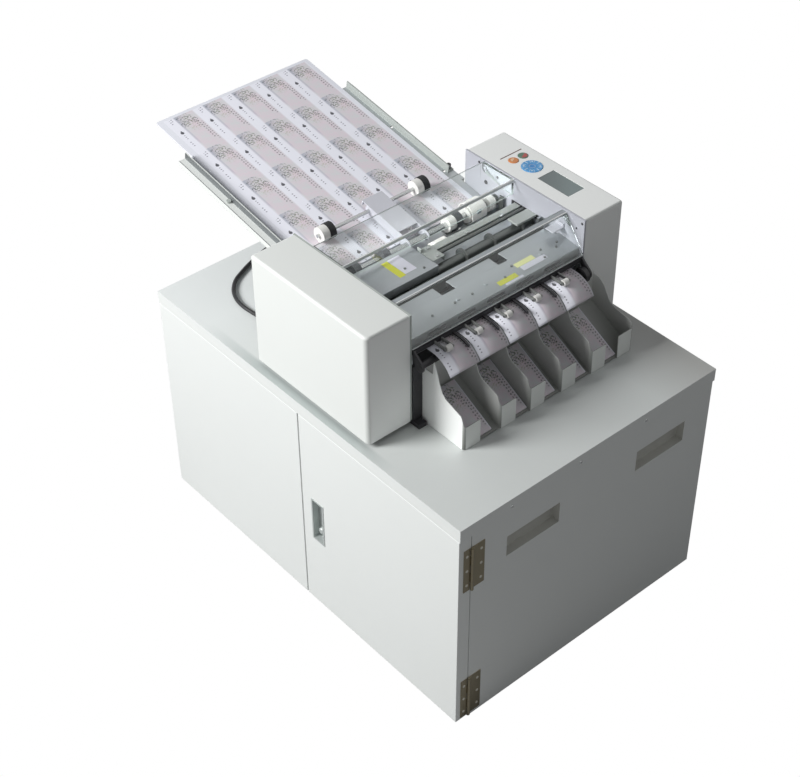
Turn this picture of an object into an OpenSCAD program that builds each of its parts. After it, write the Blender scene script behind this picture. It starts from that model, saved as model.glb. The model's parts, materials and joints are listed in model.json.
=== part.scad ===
// Card slitting and cutting machine on a two-door steel cabinet.
// Origin: on the floor, under the middle of the cabinet. +Z is up, cards come out towards -Y,
// sheets go in from +Y, and the operating panel is on the +X housing.

/* [Cabinet] */
// Width of the cabinet, across the paper path
cab_w = 505; // [480:5:640]
// Depth of the cabinet, along the paper path
cab_d = 695; // [660:5:800]
// Height of the cabinet's top surface
cab_h = 400; // [330:5:520]
// Depth of the folded lip round the cabinet top
lip_h = 22; // [16:1:30]
// Thickness of the cabinet's sheet steel
steel_t = 1.5; // [1:0.1:2.5]
// Thickness of a cabinet door
door_t = 22; // [16:1:28]
// Gap between the two doors
door_gap = 3; // [2:0.5:5]
// Height of a hinge
hinge_h = 80; // [60:2:100]
// Width of a hinge leaf on the cabinet
hinge_leaf_w = 24; // [18:1:30]
// Height of the door handle's recess
handle_h = 80; // [60:2:100]
// Width of the door handle's recess
handle_w = 25; // [20:1:32]
// Length of each lifting grip pressed into the front
grip_w = 102; // [80:2:120]
// Height of each lifting grip
grip_h = 38; // [28:1:46]

/* [Machine] */
// Offset of the machine's middle from the cabinet's middle
mach_x = 3.5; // [-3:0.5:6]
// Place of the housings' front faces
front_y = -146.5; // [-160:0.5:-140]
// Room between the sheet and each side plate
sheet_side_gap = 16; // [14:0.5:20]
// Width of each housing, side plate included
house_w = 79.5; // [70:0.5:84]
// Depth of the housings
house_d = 252; // [246:1:270]
// Height of the housings
house_h = 187.5; // [184:0.5:200]
// Height of the rubber feet
foot_h = 8; // [5:0.5:14]
// Thickness of a side plate
side_t = 3; // [2:0.5:4]
// Wall of the moulded housings
shell_t = 3; // [2:0.5:4]
// Rounding of the housings' edges
house_r = 4.5; // [3:0.5:8]
// Height of the paper path over the base
path_h = 117.5; // [114:0.5:122]

/* [Paper] */
// Width of the printed sheet
sheet_w = 297; // [280:1:300]
// Length of the printed sheet
sheet_l = 420; // [380:5:450]
// Thickness of the stack on the feed table
stack_t = 3; // [1:0.5:6]
// Slope of the feed table
table_tilt = 9.7; // [6:0.1:12]
// Length of the feed table
table_l = 330; // [300:5:360]
// Width of a cut card
card_w = 54; // [50:0.5:54]
// Length of a cut card
card_l = 90; // [84:1:96]
// Distance between two cutting lines
lane_w = 56; // [55:0.5:57]
// Width of the card tray over its outer walls
tray_w = 336; // [330:0.5:338]
// Length of the stop lip at the front of each tray wall
lip_l = 31; // [24:1:34]
// Height of the stop lips over the cabinet
lip_top = 41; // [34:1:48]

/* [Rollers] */
// Radius of the feed tyre
feed_tyre_r = 13.5; // [12:0.5:14]
// Radius of the feed shafts
feed_shaft_r = 5; // [4:0.5:6]
// Radius of the pick-up tyres
pick_tyre_r = 13.5; // [12:0.5:15]
// Radius of the pick-up shaft
pick_shaft_r = 3; // [2.5:0.5:4]
// Radius of the lower feed rollers
low_roller_r = 9; // [7:0.5:10]
// Radius of the upper slitting blades
blade_r = 14; // [13:0.5:15]
// Radius of the lower slitting blades
low_blade_r = 13; // [12:0.5:14]
// Radius of the slitting shafts
slit_shaft_r = 5; // [4:0.5:6]
// Radius of the exit rollers
exit_roller_r = 12; // [10:0.5:12]
// Radius of the small white pinch rollers
pinch_r = 5; // [4:0.5:6]

/* [Covers] */
// Thickness of the clear covers
clear_t = 3; // [2:0.5:4]
// Depth of the rear cover, front to back
rear_cover_d = 65; // [60:1:75]
// Height of the rear cover's front flange
cover_flange_h = 23; // [18:1:26]
// Length of the sloping front cover
front_cover_l = 66; // [58:1:68]

/* [Controls] */
// Radius of the start and stop buttons
button_r = 8; // [6:0.5:9]
// Outer radius of the arrow pad
arrow_r = 16.5; // [14:0.5:18]
// Travel of a button
button_travel = 1; // [0.5:0.1:1.5]
// Width of the display
display_w = 33.5; // [28:0.5:40]
// Length of the display
display_l = 64; // [56:1:70]

/* [Mains lead] */
// Diameter of the mains lead
cord_d = 6.2; // [5:0.1:6.4]
// Turns in each layer of the coil
coil_turns = 3; // [2:1:3]

/* [Hidden] */
$fn = 48;
fit = 0.05;            // radial clearance of a shaft in its bearing
seat = 0.3;            // clearance of pieces that move past each other
eps = 0.01;

// cabinet faces
cab_x0 = -cab_w / 2;
cab_x1 = cab_w / 2;
cab_y0 = -cab_d / 2;
cab_y1 = cab_d / 2;
wall_y = cab_d / 2 - steel_t - 0.1;
wall_x1 = cab_x1 - steel_t - 0.1;
carcass_x0 = cab_x0 + door_t + 1;
door_z0 = 3;
door_z1 = cab_h - lip_h - 1;
door_in_x = cab_x0 + door_t;
pin_x = cab_x0 + door_t + 0.5;
pin_r = 1.4;
knuckle_r = 2.6;
leaf_t = 1.2;
pin_y = wall_y + knuckle_r;
hinge_zs = [7, door_z1 - hinge_h - 22];
hinge_n = 5;
door_leaf_w = 14;
knuckle_gap = 0.4;
stile_w = 24;
handle_z0 = cab_h * 0.36;
handle_y = -36.5;
handle_depth = 12;
handle_rim = 1;
latch_r = 5.5;
latch_z = handle_z0 + 18;
latch_travel = 3;
grip_z = cab_h - 108;
grip_xs = [-112, 146];
grip_depth = 14;
rivet_xs = [-159, -27.5, 104];
rivet_r = 2.6;

// machine faces
gap_w = sheet_w + 2 * sheet_side_gap;
xl = mach_x - gap_w / 2;
xr = mach_x + gap_w / 2;
yf = front_y;
yr = front_y + house_d;
z0 = cab_h + foot_h;
z1 = z0 + house_h;
path_z = z0 + path_h;
pan_t = 2;
pan_y0 = yf + shell_t + 0.3;
pan_y1 = yr - shell_t - 0.3;
pan_x0 = xl - house_w + shell_t + 0.3;
pan_x1 = xr + house_w - shell_t - 0.3;
foot_r = 13;
plate_z0 = z0 + pan_t;

// lines across the paper path
feed_y = yf + 184.5;
slit_y = yf + 108.5;
cut_y = yf + 78;
exit_y = yf - 13.5;
cheek_r = 9;
sheet_gap = 0.4;
feed_z = path_z + sheet_gap + feed_tyre_r;
low_feed_z = path_z - 0.2 - low_roller_r;
blade_lap = 0.8;
slit_z = path_z + blade_r - blade_lap;
low_slit_z = path_z + blade_lap - low_blade_r;
exit_z = path_z - 0.4 - exit_roller_r;
card_t = 0.6;
card_drop_r = 42;
pinch_dx = -7;
finger_dx = -6;
pinch_ahead = 11;
pinch_y = exit_y - pinch_ahead;
pinch_z = path_z - card_drop_r + sqrt(pow(card_drop_r + card_t + 0.3 + pinch_r, 2) - pow(pinch_ahead, 2));
bush_wall = 3;
bush_play = 0.02;
shaft_out = 2;
lanes = [-2 : 2];
blade_t = 2;
blade_xs = [for (i = [-2.5 : 1 : 2.5]) mach_x + i * lane_w];
spacer_r = 8;
guide_y1 = cut_y + 10;
deck_z = path_z - 0.3;
deck_t = 2;
// y, z and radius of the rods that tie the two side plates together
tie_points = [[slit_y + 16, path_z + 27.5, 3], [yr - 14, z0 + 30, 4], [yf + 20, z0 + 40, 4]];

// each entry: y, z and shaft radius of a shaft that turns in both side plates
shafts = [
    [feed_y, feed_z, feed_shaft_r], [feed_y, low_feed_z, feed_shaft_r],
    [slit_y, slit_z, slit_shaft_r], [slit_y, low_slit_z, slit_shaft_r]
];

// drive inside the -X housing
gear_x1 = xl - side_t - 3;
gear_l = 9;
feed_gear_r = 20;
pinion_r = 9;
motor_r = 22;
motor_y = feed_y;
motor_z = feed_z - feed_gear_r - pinion_r - 0.4;

// cutting blade
blade_up = 3.5;
blade_h = 24.5;

// feed table frame: v runs up the slope from the front edge of the sheets
nip_y = feed_y + 20;
nip_z = path_z + 5;
table_t = 2;
arm_plate_t = 2;
rail_in = sheet_w / 2 + 9;
rail_t = 2;
rail_flange = 10;
rail_h = 13;
rail_v0 = 80;
rail_v1 = table_l - 2;
rail_in_travel = 7;
rail_screw_vs = [rail_v0 + 6, rail_v0 + 132];
rail_screw_x = rail_in + rail_t + rail_flange * 0.4;
screw_r = 2;
table_half = rail_in + rail_t + rail_flange;
table_in_half = gap_w / 2 - 1;
table_step_v = (yr + 6 - nip_y) / cos(table_tilt);

// pick-up arm
pick_v = 68;
pick_w = pick_tyre_r + 0.3;
pick_y = nip_y + pick_v * cos(table_tilt) - pick_w * sin(table_tilt);
pick_z = nip_z + pick_v * sin(table_tilt) + pick_w * cos(table_tilt);
arm_x0 = mach_x - 13.5;
arm_x1 = mach_x + 24.5;
arm_t = 1.6;
arm_r = 8;
arm_len = sqrt(pow(pick_y - feed_y, 2) + pow(pick_z - feed_z, 2));
arm_tilt = atan2(pick_z - feed_z, pick_y - feed_y);
wheel_xs = [mach_x - 108, mach_x + 74];
hub_l = 12;
tyre_l = 11;

// clear covers
rear_cover_y0 = yf + 146;
rear_cover_y1 = rear_cover_y0 + rear_cover_d;
cover_z1 = z1 - 1;
pivot_r = 2;
rear_pivot_y = rear_cover_y1 - 7;
rear_pivot_z = cover_z1 - clear_t - 8;
cover_side = 0.4;
front_tilt = 54.9;
front_top_y = yf + 36.5;
front_top_z = z1 - 3.5;
front_pivot_y = front_top_y + 4;
front_pivot_z = front_top_z - 6;

// display and buttons
panel_x = mach_x + gap_w / 2 + 43;
display_y = yf + 91.5;
button_y = yf + 182;
button_dx = 20;
arrow_y = yf + 151.7;
arrow_x = panel_x - 0.5;
ok_r = 6;
groove_y = yf + 196.5;
board_z = z1 - 8;
flange_t = 1.2;

// tray
tray_shift = 20.9;
tray_x0 = mach_x + tray_shift - tray_w / 2;
tray_t = 1.2;
tray_y0 = yf - 3.5;
tray_y1 = yf - 88.5;
tray_floor_z0 = cab_h + 0.4;
tray_floor_rise = 44;
lip_bend = 5;
// place of each wall, as a share of the tray's width
wall_shares = [0, 0.2022, 0.3725, 0.557, 0.7393, 1];
tray_walls = [for (s = wall_shares) tray_x0 + s * (tray_w - tray_t)];

// mains lead
cord_r = cord_d / 2;
cord_z = cab_h + 1 + cord_r;
relief_in = 14;
relief_x = xl - relief_in;
relief_z = z0 + 22;
relief_l = 32;
relief_r = 6;
coil_pitch = 7.4;
coil_x = 30;
coil_y = 280;
coil_r_in = 25;
coil_r_out = coil_r_in + coil_turns * coil_pitch;
coil_rings = 24;
coil_climb = 180;
coil_tail = 6 * cord_d;
// route of the free stretch, from the strain relief to the coil
cord_route = [
    [relief_x, 137.5, 430], [relief_x, 145, 429.6], [relief_x, 157, 425], [-175.5, 169, 416],
    [-176, 181, 408.5], [-177, 193, 404.8], [-178, 207, 404.1], [-179, 223, 404.1],
    [-177, 241, 404.1], [-171, 258, 404.1], [-161, 273, 404.1], [-147, 286, 404.1],
    [-130, 295, 404.1], [-112, 303, 404.1], [-93, 310, 404.1], [-72, 317, 404.1],
    [-50, 322, 404.1], [-28, 325, 404.1], [-6, 326.8, 404.1], [14, 327.2, 404.1], [30, 327.2, 404.1]
];
cord_sides = 8;

// ---- shared shapes

module block(x0, x1, y0, y1, z0, z1) {
    translate([x0, y0, z0]) cube([x1 - x0, y1 - y0, z1 - z0]);
}

module rod_x(x0, x1, y, z, r) {
    translate([x0, y, z]) rotate([0, 90, 0]) cylinder(r = r, h = x1 - x0);
}

// outline drawn in (y, z), given a thickness along x
module slab_x(x0, x1) {
    translate([x0, 0, 0]) rotate([90, 0, 90]) linear_extrude(x1 - x0) children();
}

// frame of the sloping feed table: x across, y up the slope, z off the table
module on_slope() {
    translate([mach_x, nip_y, nip_z]) rotate([table_tilt, 0, 0]) children();
}

module link_2d(length, r) {
    circle(r);
    translate([length, 0]) circle(r);
    translate([0, -r]) square([length, 2 * r]);
}

module rounded_2d(w, d, r) {
    translate([r, 0]) square([w - 2 * r, d]);
    translate([0, r]) square([w, d - 2 * r]);
    for (x = [r, w - r], y = [r, d - r]) translate([x, y]) circle(r);
}

// ---- cabinet

module grip_outline(skin) {
    polygon([
        [-wall_y, grip_z - skin],
        [-wall_y + grip_depth + skin, grip_z - skin],
        [-wall_y + grip_depth + skin, grip_z + grip_h * 0.45],
        [-wall_y + skin, grip_z + grip_h + skin],
        [-wall_y, grip_z + grip_h + skin]
    ]);
}

module cabinet_body() {
    top_under = cab_h - steel_t;
    color([0.86, 0.87, 0.86]) {
        block(carcass_x0, wall_x1, -wall_y, wall_y, 0, steel_t);
        block(wall_x1 - steel_t, wall_x1, -wall_y, wall_y, 0, top_under);
        block(carcass_x0, wall_x1, wall_y - steel_t, wall_y, 0, top_under);
        // front wall with its two pressed lifting grips
        difference() {
            union() {
                block(carcass_x0, wall_x1, -wall_y, -wall_y + steel_t, 0, top_under);
                for (x = grip_xs) slab_x(x - grip_w / 2 - steel_t, x + grip_w / 2 + steel_t)
                    grip_outline(steel_t);
            }
            for (x = grip_xs) slab_x(x - grip_w / 2, x + grip_w / 2) {
                grip_outline(0);
                translate([-wall_y - 1, grip_z]) square([1.5, grip_h]);
            }
        }
        // frame round the doors
        block(carcass_x0, carcass_x0 + stile_w, -stile_w / 2, stile_w / 2, 0, top_under);
        for (y = [-wall_y, wall_y - stile_w])
            block(carcass_x0, carcass_x0 + steel_t, y, y + stile_w, 0, top_under);
        block(carcass_x0, carcass_x0 + steel_t, -wall_y, wall_y, cab_h - lip_h - stile_w, top_under);
    }
}

module cabinet_top() {
    color([0.87, 0.88, 0.87]) {
        difference() {
            block(cab_x0, cab_x1, cab_y0, cab_y1, cab_h - lip_h, cab_h);
            block(cab_x0 + steel_t, cab_x1 - steel_t, cab_y0 + steel_t, cab_y1 - steel_t,
                cab_h - lip_h - 1, cab_h - steel_t);
        }
        // rivet heads on the two end lips
        for (x = rivet_xs, y = [cab_y0, cab_y1])
            translate([x, y, cab_h - lip_h * 0.58]) rotate([90, 0, 0])
                cylinder(r = rivet_r, h = 1.6, center = true);
    }
}

// pressed pan door standing at the -Y end, hinge edge at -Y
module door_pan() {
    y0 = -wall_y;
    y1 = -door_gap / 2;
    fold = 16;
    difference() {
        block(cab_x0, door_in_x, y0, y1, door_z0, door_z1);
        block(cab_x0 + steel_t, door_in_x - steel_t, y0 + steel_t, y1 - steel_t,
            door_z0 + steel_t, door_z1 - steel_t);
        block(door_in_x - steel_t - 1, door_in_x + 1, y0 + fold, y1 - fold, door_z0 + fold, door_z1 - fold);
    }
}

module near_door() {
    color([0.9, 0.91, 0.91]) difference() {
        door_pan();
        block(cab_x0 - 1, cab_x0 + steel_t + 1, handle_y - handle_w / 2, handle_y + handle_w / 2,
            handle_z0, handle_z0 + handle_h);
    }
}

module far_door() {
    color([0.9, 0.91, 0.91]) mirror([0, 1, 0]) door_pan();
}

// one leaf of a butt hinge on the -Y face: side 1 goes towards +X, side -1 towards the door's edge
module hinge_leaf(zb, side, width) {
    seg = hinge_h / hinge_n;
    own = side > 0 ? 0 : 1;
    clear = knuckle_r + 0.4;
    difference() {
        union() {
            for (k = [own : 2 : hinge_n - 1])
                translate([pin_x, -pin_y, zb + k * seg + knuckle_gap / 2])
                    cylinder(r = knuckle_r, h = seg - knuckle_gap);
            difference() {
                block(min(pin_x, pin_x + side * width), max(pin_x, pin_x + side * width),
                    -wall_y - leaf_t, -wall_y, zb, zb + hinge_h);
                for (k = [1 - own : 2 : hinge_n - 1])
                    block(pin_x - clear, pin_x + clear, -wall_y - leaf_t - 1, -wall_y + 1,
                        zb + k * seg, zb + (k + 1) * seg);
            }
        }
        translate([pin_x, -pin_y, zb - 1]) cylinder(r = pin_r + fit, h = hinge_h + 2);
    }
}

module hinge_frame_leaves() {
    color([0.5, 0.47, 0.4]) for (m = [0, 1]) mirror([0, m, 0]) for (zb = hinge_zs)
        hinge_leaf(zb, 1, hinge_leaf_w);
}

module near_hinge_leaves() {
    color([0.5, 0.47, 0.4]) for (zb = hinge_zs) hinge_leaf(zb, -1, door_leaf_w);
}

module far_hinge_leaves() {
    color([0.5, 0.47, 0.4]) mirror([0, 1, 0]) for (zb = hinge_zs) hinge_leaf(zb, -1, door_leaf_w);
}

module hinge_pins() {
    color([0.55, 0.53, 0.48]) for (m = [0, 1]) mirror([0, m, 0]) for (zb = hinge_zs)
        translate([pin_x, -pin_y, zb]) {
            cylinder(r = pin_r, h = hinge_h);
            translate([0, 0, hinge_h]) cylinder(r = pin_r + 0.8, h = 1);
            translate([0, 0, -1]) cylinder(r = pin_r + 0.8, h = 1);
        }
}

module door_handle() {
    wall = 1.2;
    y0 = handle_y - handle_w / 2;
    y1 = handle_y + handle_w / 2;
    hz1 = handle_z0 + handle_h;
    color([0.68, 0.7, 0.7]) difference() {
        union() {
            block(cab_x0 - handle_rim, cab_x0, y0 - 1.5, y1 + 1.5, handle_z0 - 1.5, hz1 + 1.5);
            block(cab_x0 - handle_rim, cab_x0 + handle_depth, y0 + 0.1, y1 - 0.1,
                handle_z0 + 0.1, hz1 - 0.1);
        }
        block(cab_x0 - 2, cab_x0 + handle_depth - wall, y0 + 0.1 + wall, y1 - 0.1 - wall,
            handle_z0 + 0.1 + wall, hz1 - 0.1 - wall);
        rod_x(cab_x0 + 2, cab_x0 + handle_depth + 1, handle_y, latch_z, latch_r + seat);
    }
}

module handle_latch() {
    front = cab_x0 + 2 + latch_travel;
    back = cab_x0 + handle_depth + seat;
    color([0.8, 0.81, 0.8]) translate([0, handle_y, latch_z]) {
        rod_x(front, back + 2, 0, 0, latch_r);
        rod_x(back, back + 2, 0, 0, latch_r + 1.5);
        translate([front, 0, 0]) rotate([0, -90, 0])
            cylinder(r1 = latch_r, r2 = latch_r - 1.2, h = 1.2);
    }
}

// ---- machine base, plates and housings

module rubber_feet() {
    color([0.1, 0.1, 0.1]) for (x = [xl - 38, xr + 38], y = [yf + 38, yr - 38])
        translate([x, y, cab_h]) cylinder(r1 = foot_r, r2 = foot_r - 1.5, h = foot_h);
}

module base_pan() {
    toe_w = 14;
    toe_l = 36;
    color([0.12, 0.12, 0.13]) {
        block(pan_x0, pan_x1, pan_y0, pan_y1, z0, z0 + pan_t);
        for (y = [pan_y0, pan_y1 - pan_t]) block(xl + 1, xr - 1, y, y + pan_t, z0, z0 + 14);
        for (toe = [[xl + 0.5, yf - 14.5], [xr - 0.5 - toe_w, tray_y0 + tray_t + seat]])
            block(toe[0], toe[0] + toe_w, toe[1], yf - 14.5 + toe_l, cab_h + seat, z0 + eps);
        // apron that closes the front and carries the tray
        block(xl + 0.5, xr - 0.5, tray_y0 + tray_t, pan_y0 + eps, z0, z0 + pan_t);
        block(xl + 0.5, xr - 0.5, tray_y0 + tray_t, tray_y0 + tray_t + 2, z0, path_z - 20);
    }
}

module side_plate_2d() {
    difference() {
        translate([yf, plate_z0]) square([house_d, z1 - plate_z0]);
        for (s = shafts) translate([s[0], s[1]]) circle(s[2] + bush_wall);
    }
}

module pivot_holes(x0, x1) {
    rod_x(x0, x1, rear_pivot_y, rear_pivot_z, pivot_r);
    rod_x(x0, x1, front_pivot_y, front_pivot_z, pivot_r);
}

module left_side_plate() {
    color([0.8, 0.81, 0.86]) {
        slab_x(xl - side_t, xl) side_plate_2d();
        pivot_holes(xl - eps, xl + cover_side + clear_t);
    }
}

module right_side_plate() {
    color([0.8, 0.81, 0.86]) {
        slab_x(xr, xr + side_t) side_plate_2d();
        pivot_holes(xr - cover_side - clear_t, xr + eps);
    }
}

// moulded housing for the +X side: open towards the side plate and below
module housing_shell() {
    w = house_w - side_t;
    difference() {
        hull() {
            for (y = [house_r, house_d - house_r]) {
                rod_x(0, w - house_r, y, house_h - house_r, house_r);
                translate([w - house_r, y, 0]) cylinder(r = house_r, h = 1);
                translate([w - house_r, y, house_h - house_r]) sphere(house_r, $fn = 32);
            }
            block(0, 1, 0, house_d, 0, 1);
        }
        block(-1, w - shell_t, shell_t, house_d - shell_t, -1, house_h - shell_t);
    }
}

module left_housing() {
    color([0.9, 0.92, 0.91]) difference() {
        translate([xl - side_t, yf, z0]) mirror([1, 0, 0]) housing_shell();
        translate([relief_x, yr - shell_t - 1, relief_z]) rotate([-90, 0, 0])
            cylinder(r = relief_r + 0.1, h = shell_t + 2);
    }
}

module right_housing() {
    groove_w = 44;
    color([0.83, 0.84, 0.83]) difference() {
        translate([xr + side_t, yf, z0]) housing_shell();
        block(panel_x - display_w / 2, panel_x + display_w / 2, display_y - display_l / 2,
            display_y + display_l / 2, z1 - shell_t - 1, z1 + 1);
        for (s = [-1, 1]) translate([panel_x + s * button_dx / 2, button_y, z1 - shell_t - 1])
            cylinder(r = button_r + seat, h = shell_t + 2);
        translate([arrow_x, arrow_y, z1 - shell_t - 1]) cylinder(r = arrow_r + seat, h = shell_t + 2);
        block(panel_x - groove_w / 2, panel_x + groove_w / 2, groove_y, groove_y + 1.6, z1 - 0.8, z1 + 1);
    }
}

module tie_rods() {
    color([0.75, 0.76, 0.76]) for (p = tie_points) rod_x(xl, xr, p[0], p[1], p[2]);
}

module display_window() {
    color([0.33, 0.38, 0.38]) block(panel_x - display_w / 2 + 0.2, panel_x + display_w / 2 - 0.2,
        display_y - display_l / 2 + 0.2, display_y + display_l / 2 - 0.2, z1 - 2.4, z1 - 0.6);
}

module control_board() {
    half_w = 31;
    post_r = 2.5;
    board_y0 = display_y - display_l / 2 - 17.5;
    board_y1 = button_y + 30;
    color([0.1, 0.4, 0.2]) {
        block(panel_x - half_w, panel_x + half_w, board_y0, board_y1, board_z - 1.6, board_z);
        block(panel_x - display_w / 2 + 0.4, panel_x + display_w / 2 - 0.4,
            display_y - display_l / 2 + 0.4, display_y + display_l / 2 - 0.4, board_z - eps, z1 - 2.4);
        for (x = [panel_x - half_w + 4, panel_x + half_w - 4], y = [board_y0 + 5, board_y1 - 5])
            translate([x, y, board_z - eps]) cylinder(r = post_r, h = z1 - shell_t - board_z + eps);
    }
}

// round key with a flange that the housing's top wall holds down
module key(r, flange_z) {
    translate([0, 0, flange_z]) cylinder(r = r + 1.4, h = flange_t);
    translate([0, 0, flange_z]) cylinder(r = r, h = z1 + 0.2 - flange_z);
    translate([0, 0, z1 + 0.2 - eps]) cylinder(r1 = r, r2 = r - 0.8, h = 0.6);
}

module plunger() {
    translate([0, 0, board_z + button_travel + 0.1]) cylinder(r = 2, h = z1 - 3 - board_z - button_travel);
}

module start_button() {
    color([0.35, 0.5, 0.35]) translate([panel_x + button_dx / 2, button_y, 0]) {
        key(button_r, z1 - shell_t - seat - flange_t);
        plunger();
    }
}

module stop_button() {
    color([0.85, 0.5, 0.25]) translate([panel_x - button_dx / 2, button_y, 0]) {
        key(button_r, z1 - shell_t - seat - flange_t);
        plunger();
    }
}

module arrow_pad() {
    color([0.3, 0.6, 0.85]) translate([arrow_x, arrow_y, 0]) difference() {
        key(arrow_r, z1 - shell_t - seat - flange_t);
        translate([0, 0, z1 - 10]) cylinder(r = ok_r + seat, h = 12);
    }
}

module ok_button() {
    flange_z = z1 - shell_t - seat - flange_t - button_travel - seat - 0.8;
    color([0.25, 0.5, 0.8]) translate([arrow_x, arrow_y, 0]) {
        translate([0, 0, flange_z]) cylinder(r = ok_r + 1.4, h = 0.8);
        translate([0, 0, flange_z]) cylinder(r = ok_r, h = z1 + 0.6 - flange_z);
    }
}

// ---- feed table, rails and sheets

module feed_table() {
    top = -stack_t;
    hem = 9;
    notch_r = 45;
    color([0.78, 0.79, 0.79]) {
        on_slope() difference() {
            union() {
                block(-table_in_half, table_in_half, 4, table_step_v + eps, top - table_t, top);
                block(-table_half, table_half, table_step_v, table_l, top - table_t, top);
                for (s = [-1, 1]) block(min(s * table_half, s * (table_half - table_t)),
                    max(s * table_half, s * (table_half - table_t)), table_step_v, table_l, top - hem, top);
                block(-table_half, table_half, table_l - table_t, table_l, top - hem, top);
            }
            // thumb cut-out in the rear edge
            translate([0, table_l, top - hem - 1]) cylinder(r = notch_r, h = hem + 2);
            // cross slots of the rail screws
            for (s = [-1, 1], v = rail_screw_vs)
                block(s > 0 ? rail_screw_x - rail_in_travel - 3 : -rail_screw_x - 3,
                    s > 0 ? rail_screw_x + 3 : -rail_screw_x + rail_in_travel + 3,
                    v - screw_r - seat, v + screw_r + seat, top - table_t - 1, top + 1);
        }
        // two folded arms carry the table from the rear of the base
        for (x = [xl + 40, xr - 40 - arm_plate_t]) slab_x(x, x + arm_plate_t) table_arm_2d();
    }
}

// height at which the arms end, half a millimetre inside the table's plate
function under_table(y) =
    nip_z + (y - nip_y) * tan(table_tilt) - (stack_t + table_t - 0.5) / cos(table_tilt);

module table_arm_2d() {
    y0 = pan_y1 - 20;
    y1 = pan_y1 + 190;
    difference() {
        polygon([[y0, plate_z0], [pan_y1 - pan_t - 0.2, plate_z0], [pan_y1 - pan_t - 0.2, z0 + 14.2],
            [pan_y1 + 12, z0 + 14.2], [y1, under_table(y1) - 14], [y1, under_table(y1)],
            [y0, under_table(y0)]]);
        translate([tie_points[1][0], tie_points[1][1]]) circle(tie_points[1][2] + bush_play);
    }
}

// right-hand rail in the table's frame: an angle with its fence next to the sheets
module rail_shape() {
    top = -stack_t;
    difference() {
        union() {
            block(rail_in, rail_in + rail_t, rail_v0, rail_v1, top, top + rail_h);
            block(rail_in, rail_in + rail_t + rail_flange, rail_v0, rail_v1, top, top + rail_t);
        }
        for (v = rail_screw_vs) translate([rail_screw_x, v, top - 1])
            cylinder(r = screw_r + fit, h = rail_t + 2);
    }
}

// clamp screws through the rail and a cross slot: knob above, hexagon nut below
module rail_screw_pair() {
    top = -stack_t;
    for (i = [0, 1]) translate([rail_screw_x, rail_screw_vs[i], 0]) {
        translate([0, 0, top - table_t - 4.5]) cylinder(r = screw_r, h = table_t + 4.5 + rail_t + 0.5);
        translate([0, 0, top + rail_t]) cylinder(r = 3.6, h = i == 0 ? 8 : 3.2);
        translate([0, 0, top - table_t - seat - 3.2]) cylinder(r = 3.5, h = 3.2, $fn = 6);
    }
}

module left_guide_rail() {
    color([0.66, 0.68, 0.68]) on_slope() mirror([1, 0, 0]) rail_shape();
}

module right_guide_rail() {
    color([0.66, 0.68, 0.68]) on_slope() rail_shape();
}

module left_rail_screws() {
    color([0.2, 0.2, 0.2]) on_slope() mirror([1, 0, 0]) rail_screw_pair();
}

module right_rail_screws() {
    color([0.2, 0.2, 0.2]) on_slope() rail_screw_pair();
}

module sheet_stack() {
    color([0.88, 0.87, 0.92]) on_slope() block(-sheet_w / 2, sheet_w / 2, 0, sheet_l, -stack_t, 0);
}

// ---- pick-up arm, feed shafts and deck

// frame along the pick-up arm: x across, y from the feed shaft to the pick-up shaft
module on_arm() {
    translate([0, feed_y, feed_z]) rotate([arm_tilt, 0, 0]) children();
}

module wheel(x0, x1, r, bore) {
    difference() {
        rod_x(x0, x1, 0, 0, r);
        rod_x(x0 - 1, x1 + 1, 0, 0, bore + fit);
    }
}

module pickup_arm() {
    color([0.78, 0.79, 0.86]) on_arm() {
        for (x = [arm_x0, arm_x1 - arm_t]) difference() {
            slab_x(x, x + arm_t) link_2d(arm_len, arm_r);
            rod_x(x - 1, x + arm_t + 1, 0, 0, feed_shaft_r + fit);
            rod_x(x - 1, x + arm_t + 1, arm_len, 0, pick_shaft_r + fit);
        }
        block(arm_x0, arm_x1, 20, arm_len + 17, arm_r - arm_t, arm_r);
        block(arm_x0, arm_x1, arm_len + 17 - arm_t, arm_len + 17, 0, arm_r);
    }
}

module pickup_shaft() {
    color([0.75, 0.76, 0.76])
        rod_x(wheel_xs[0] - 4, wheel_xs[1] + hub_l + tyre_l + 4, pick_y, pick_z, pick_shaft_r);
}

module pickup_hubs() {
    color([0.9, 0.9, 0.88]) for (x = wheel_xs) translate([0, pick_y, pick_z]) {
        wheel(x, x + hub_l, pick_tyre_r - 0.9, pick_shaft_r);
        wheel(x + hub_l - eps, x + hub_l + tyre_l, pick_tyre_r - 4, pick_shaft_r);
    }
}

module pickup_tyres() {
    color([0.15, 0.15, 0.15]) for (x = wheel_xs) translate([0, pick_y, pick_z])
        difference() {
            rod_x(x + hub_l, x + hub_l + tyre_l, 0, 0, pick_tyre_r);
            rod_x(x + hub_l - 1, x + hub_l + tyre_l + 1, 0, 0, pick_tyre_r - 4 + bush_play);
        }
}

module feed_shaft() {
    color([0.75, 0.76, 0.76]) {
        rod_x(gear_x1 - gear_l - 2, xr + side_t + shaft_out, feed_y, feed_z, feed_shaft_r);
        rod_x(gear_x1 - gear_l, gear_x1, feed_y, feed_z, feed_gear_r);
    }
}

module feed_hubs() {
    color([0.9, 0.9, 0.88]) translate([0, feed_y, feed_z]) {
        wheel(mach_x + 62.5, mach_x + 75.5, feed_tyre_r - 1.5, feed_shaft_r);
        wheel(mach_x + 75.5 - eps, mach_x + 87.5, feed_tyre_r - 4, feed_shaft_r);
        wheel(mach_x + 101.5, mach_x + 107.5, feed_tyre_r - 0.5, feed_shaft_r);
        wheel(mach_x + 107.5 - eps, mach_x + 124.5, feed_tyre_r - 3.5, feed_shaft_r);
    }
}

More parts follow.
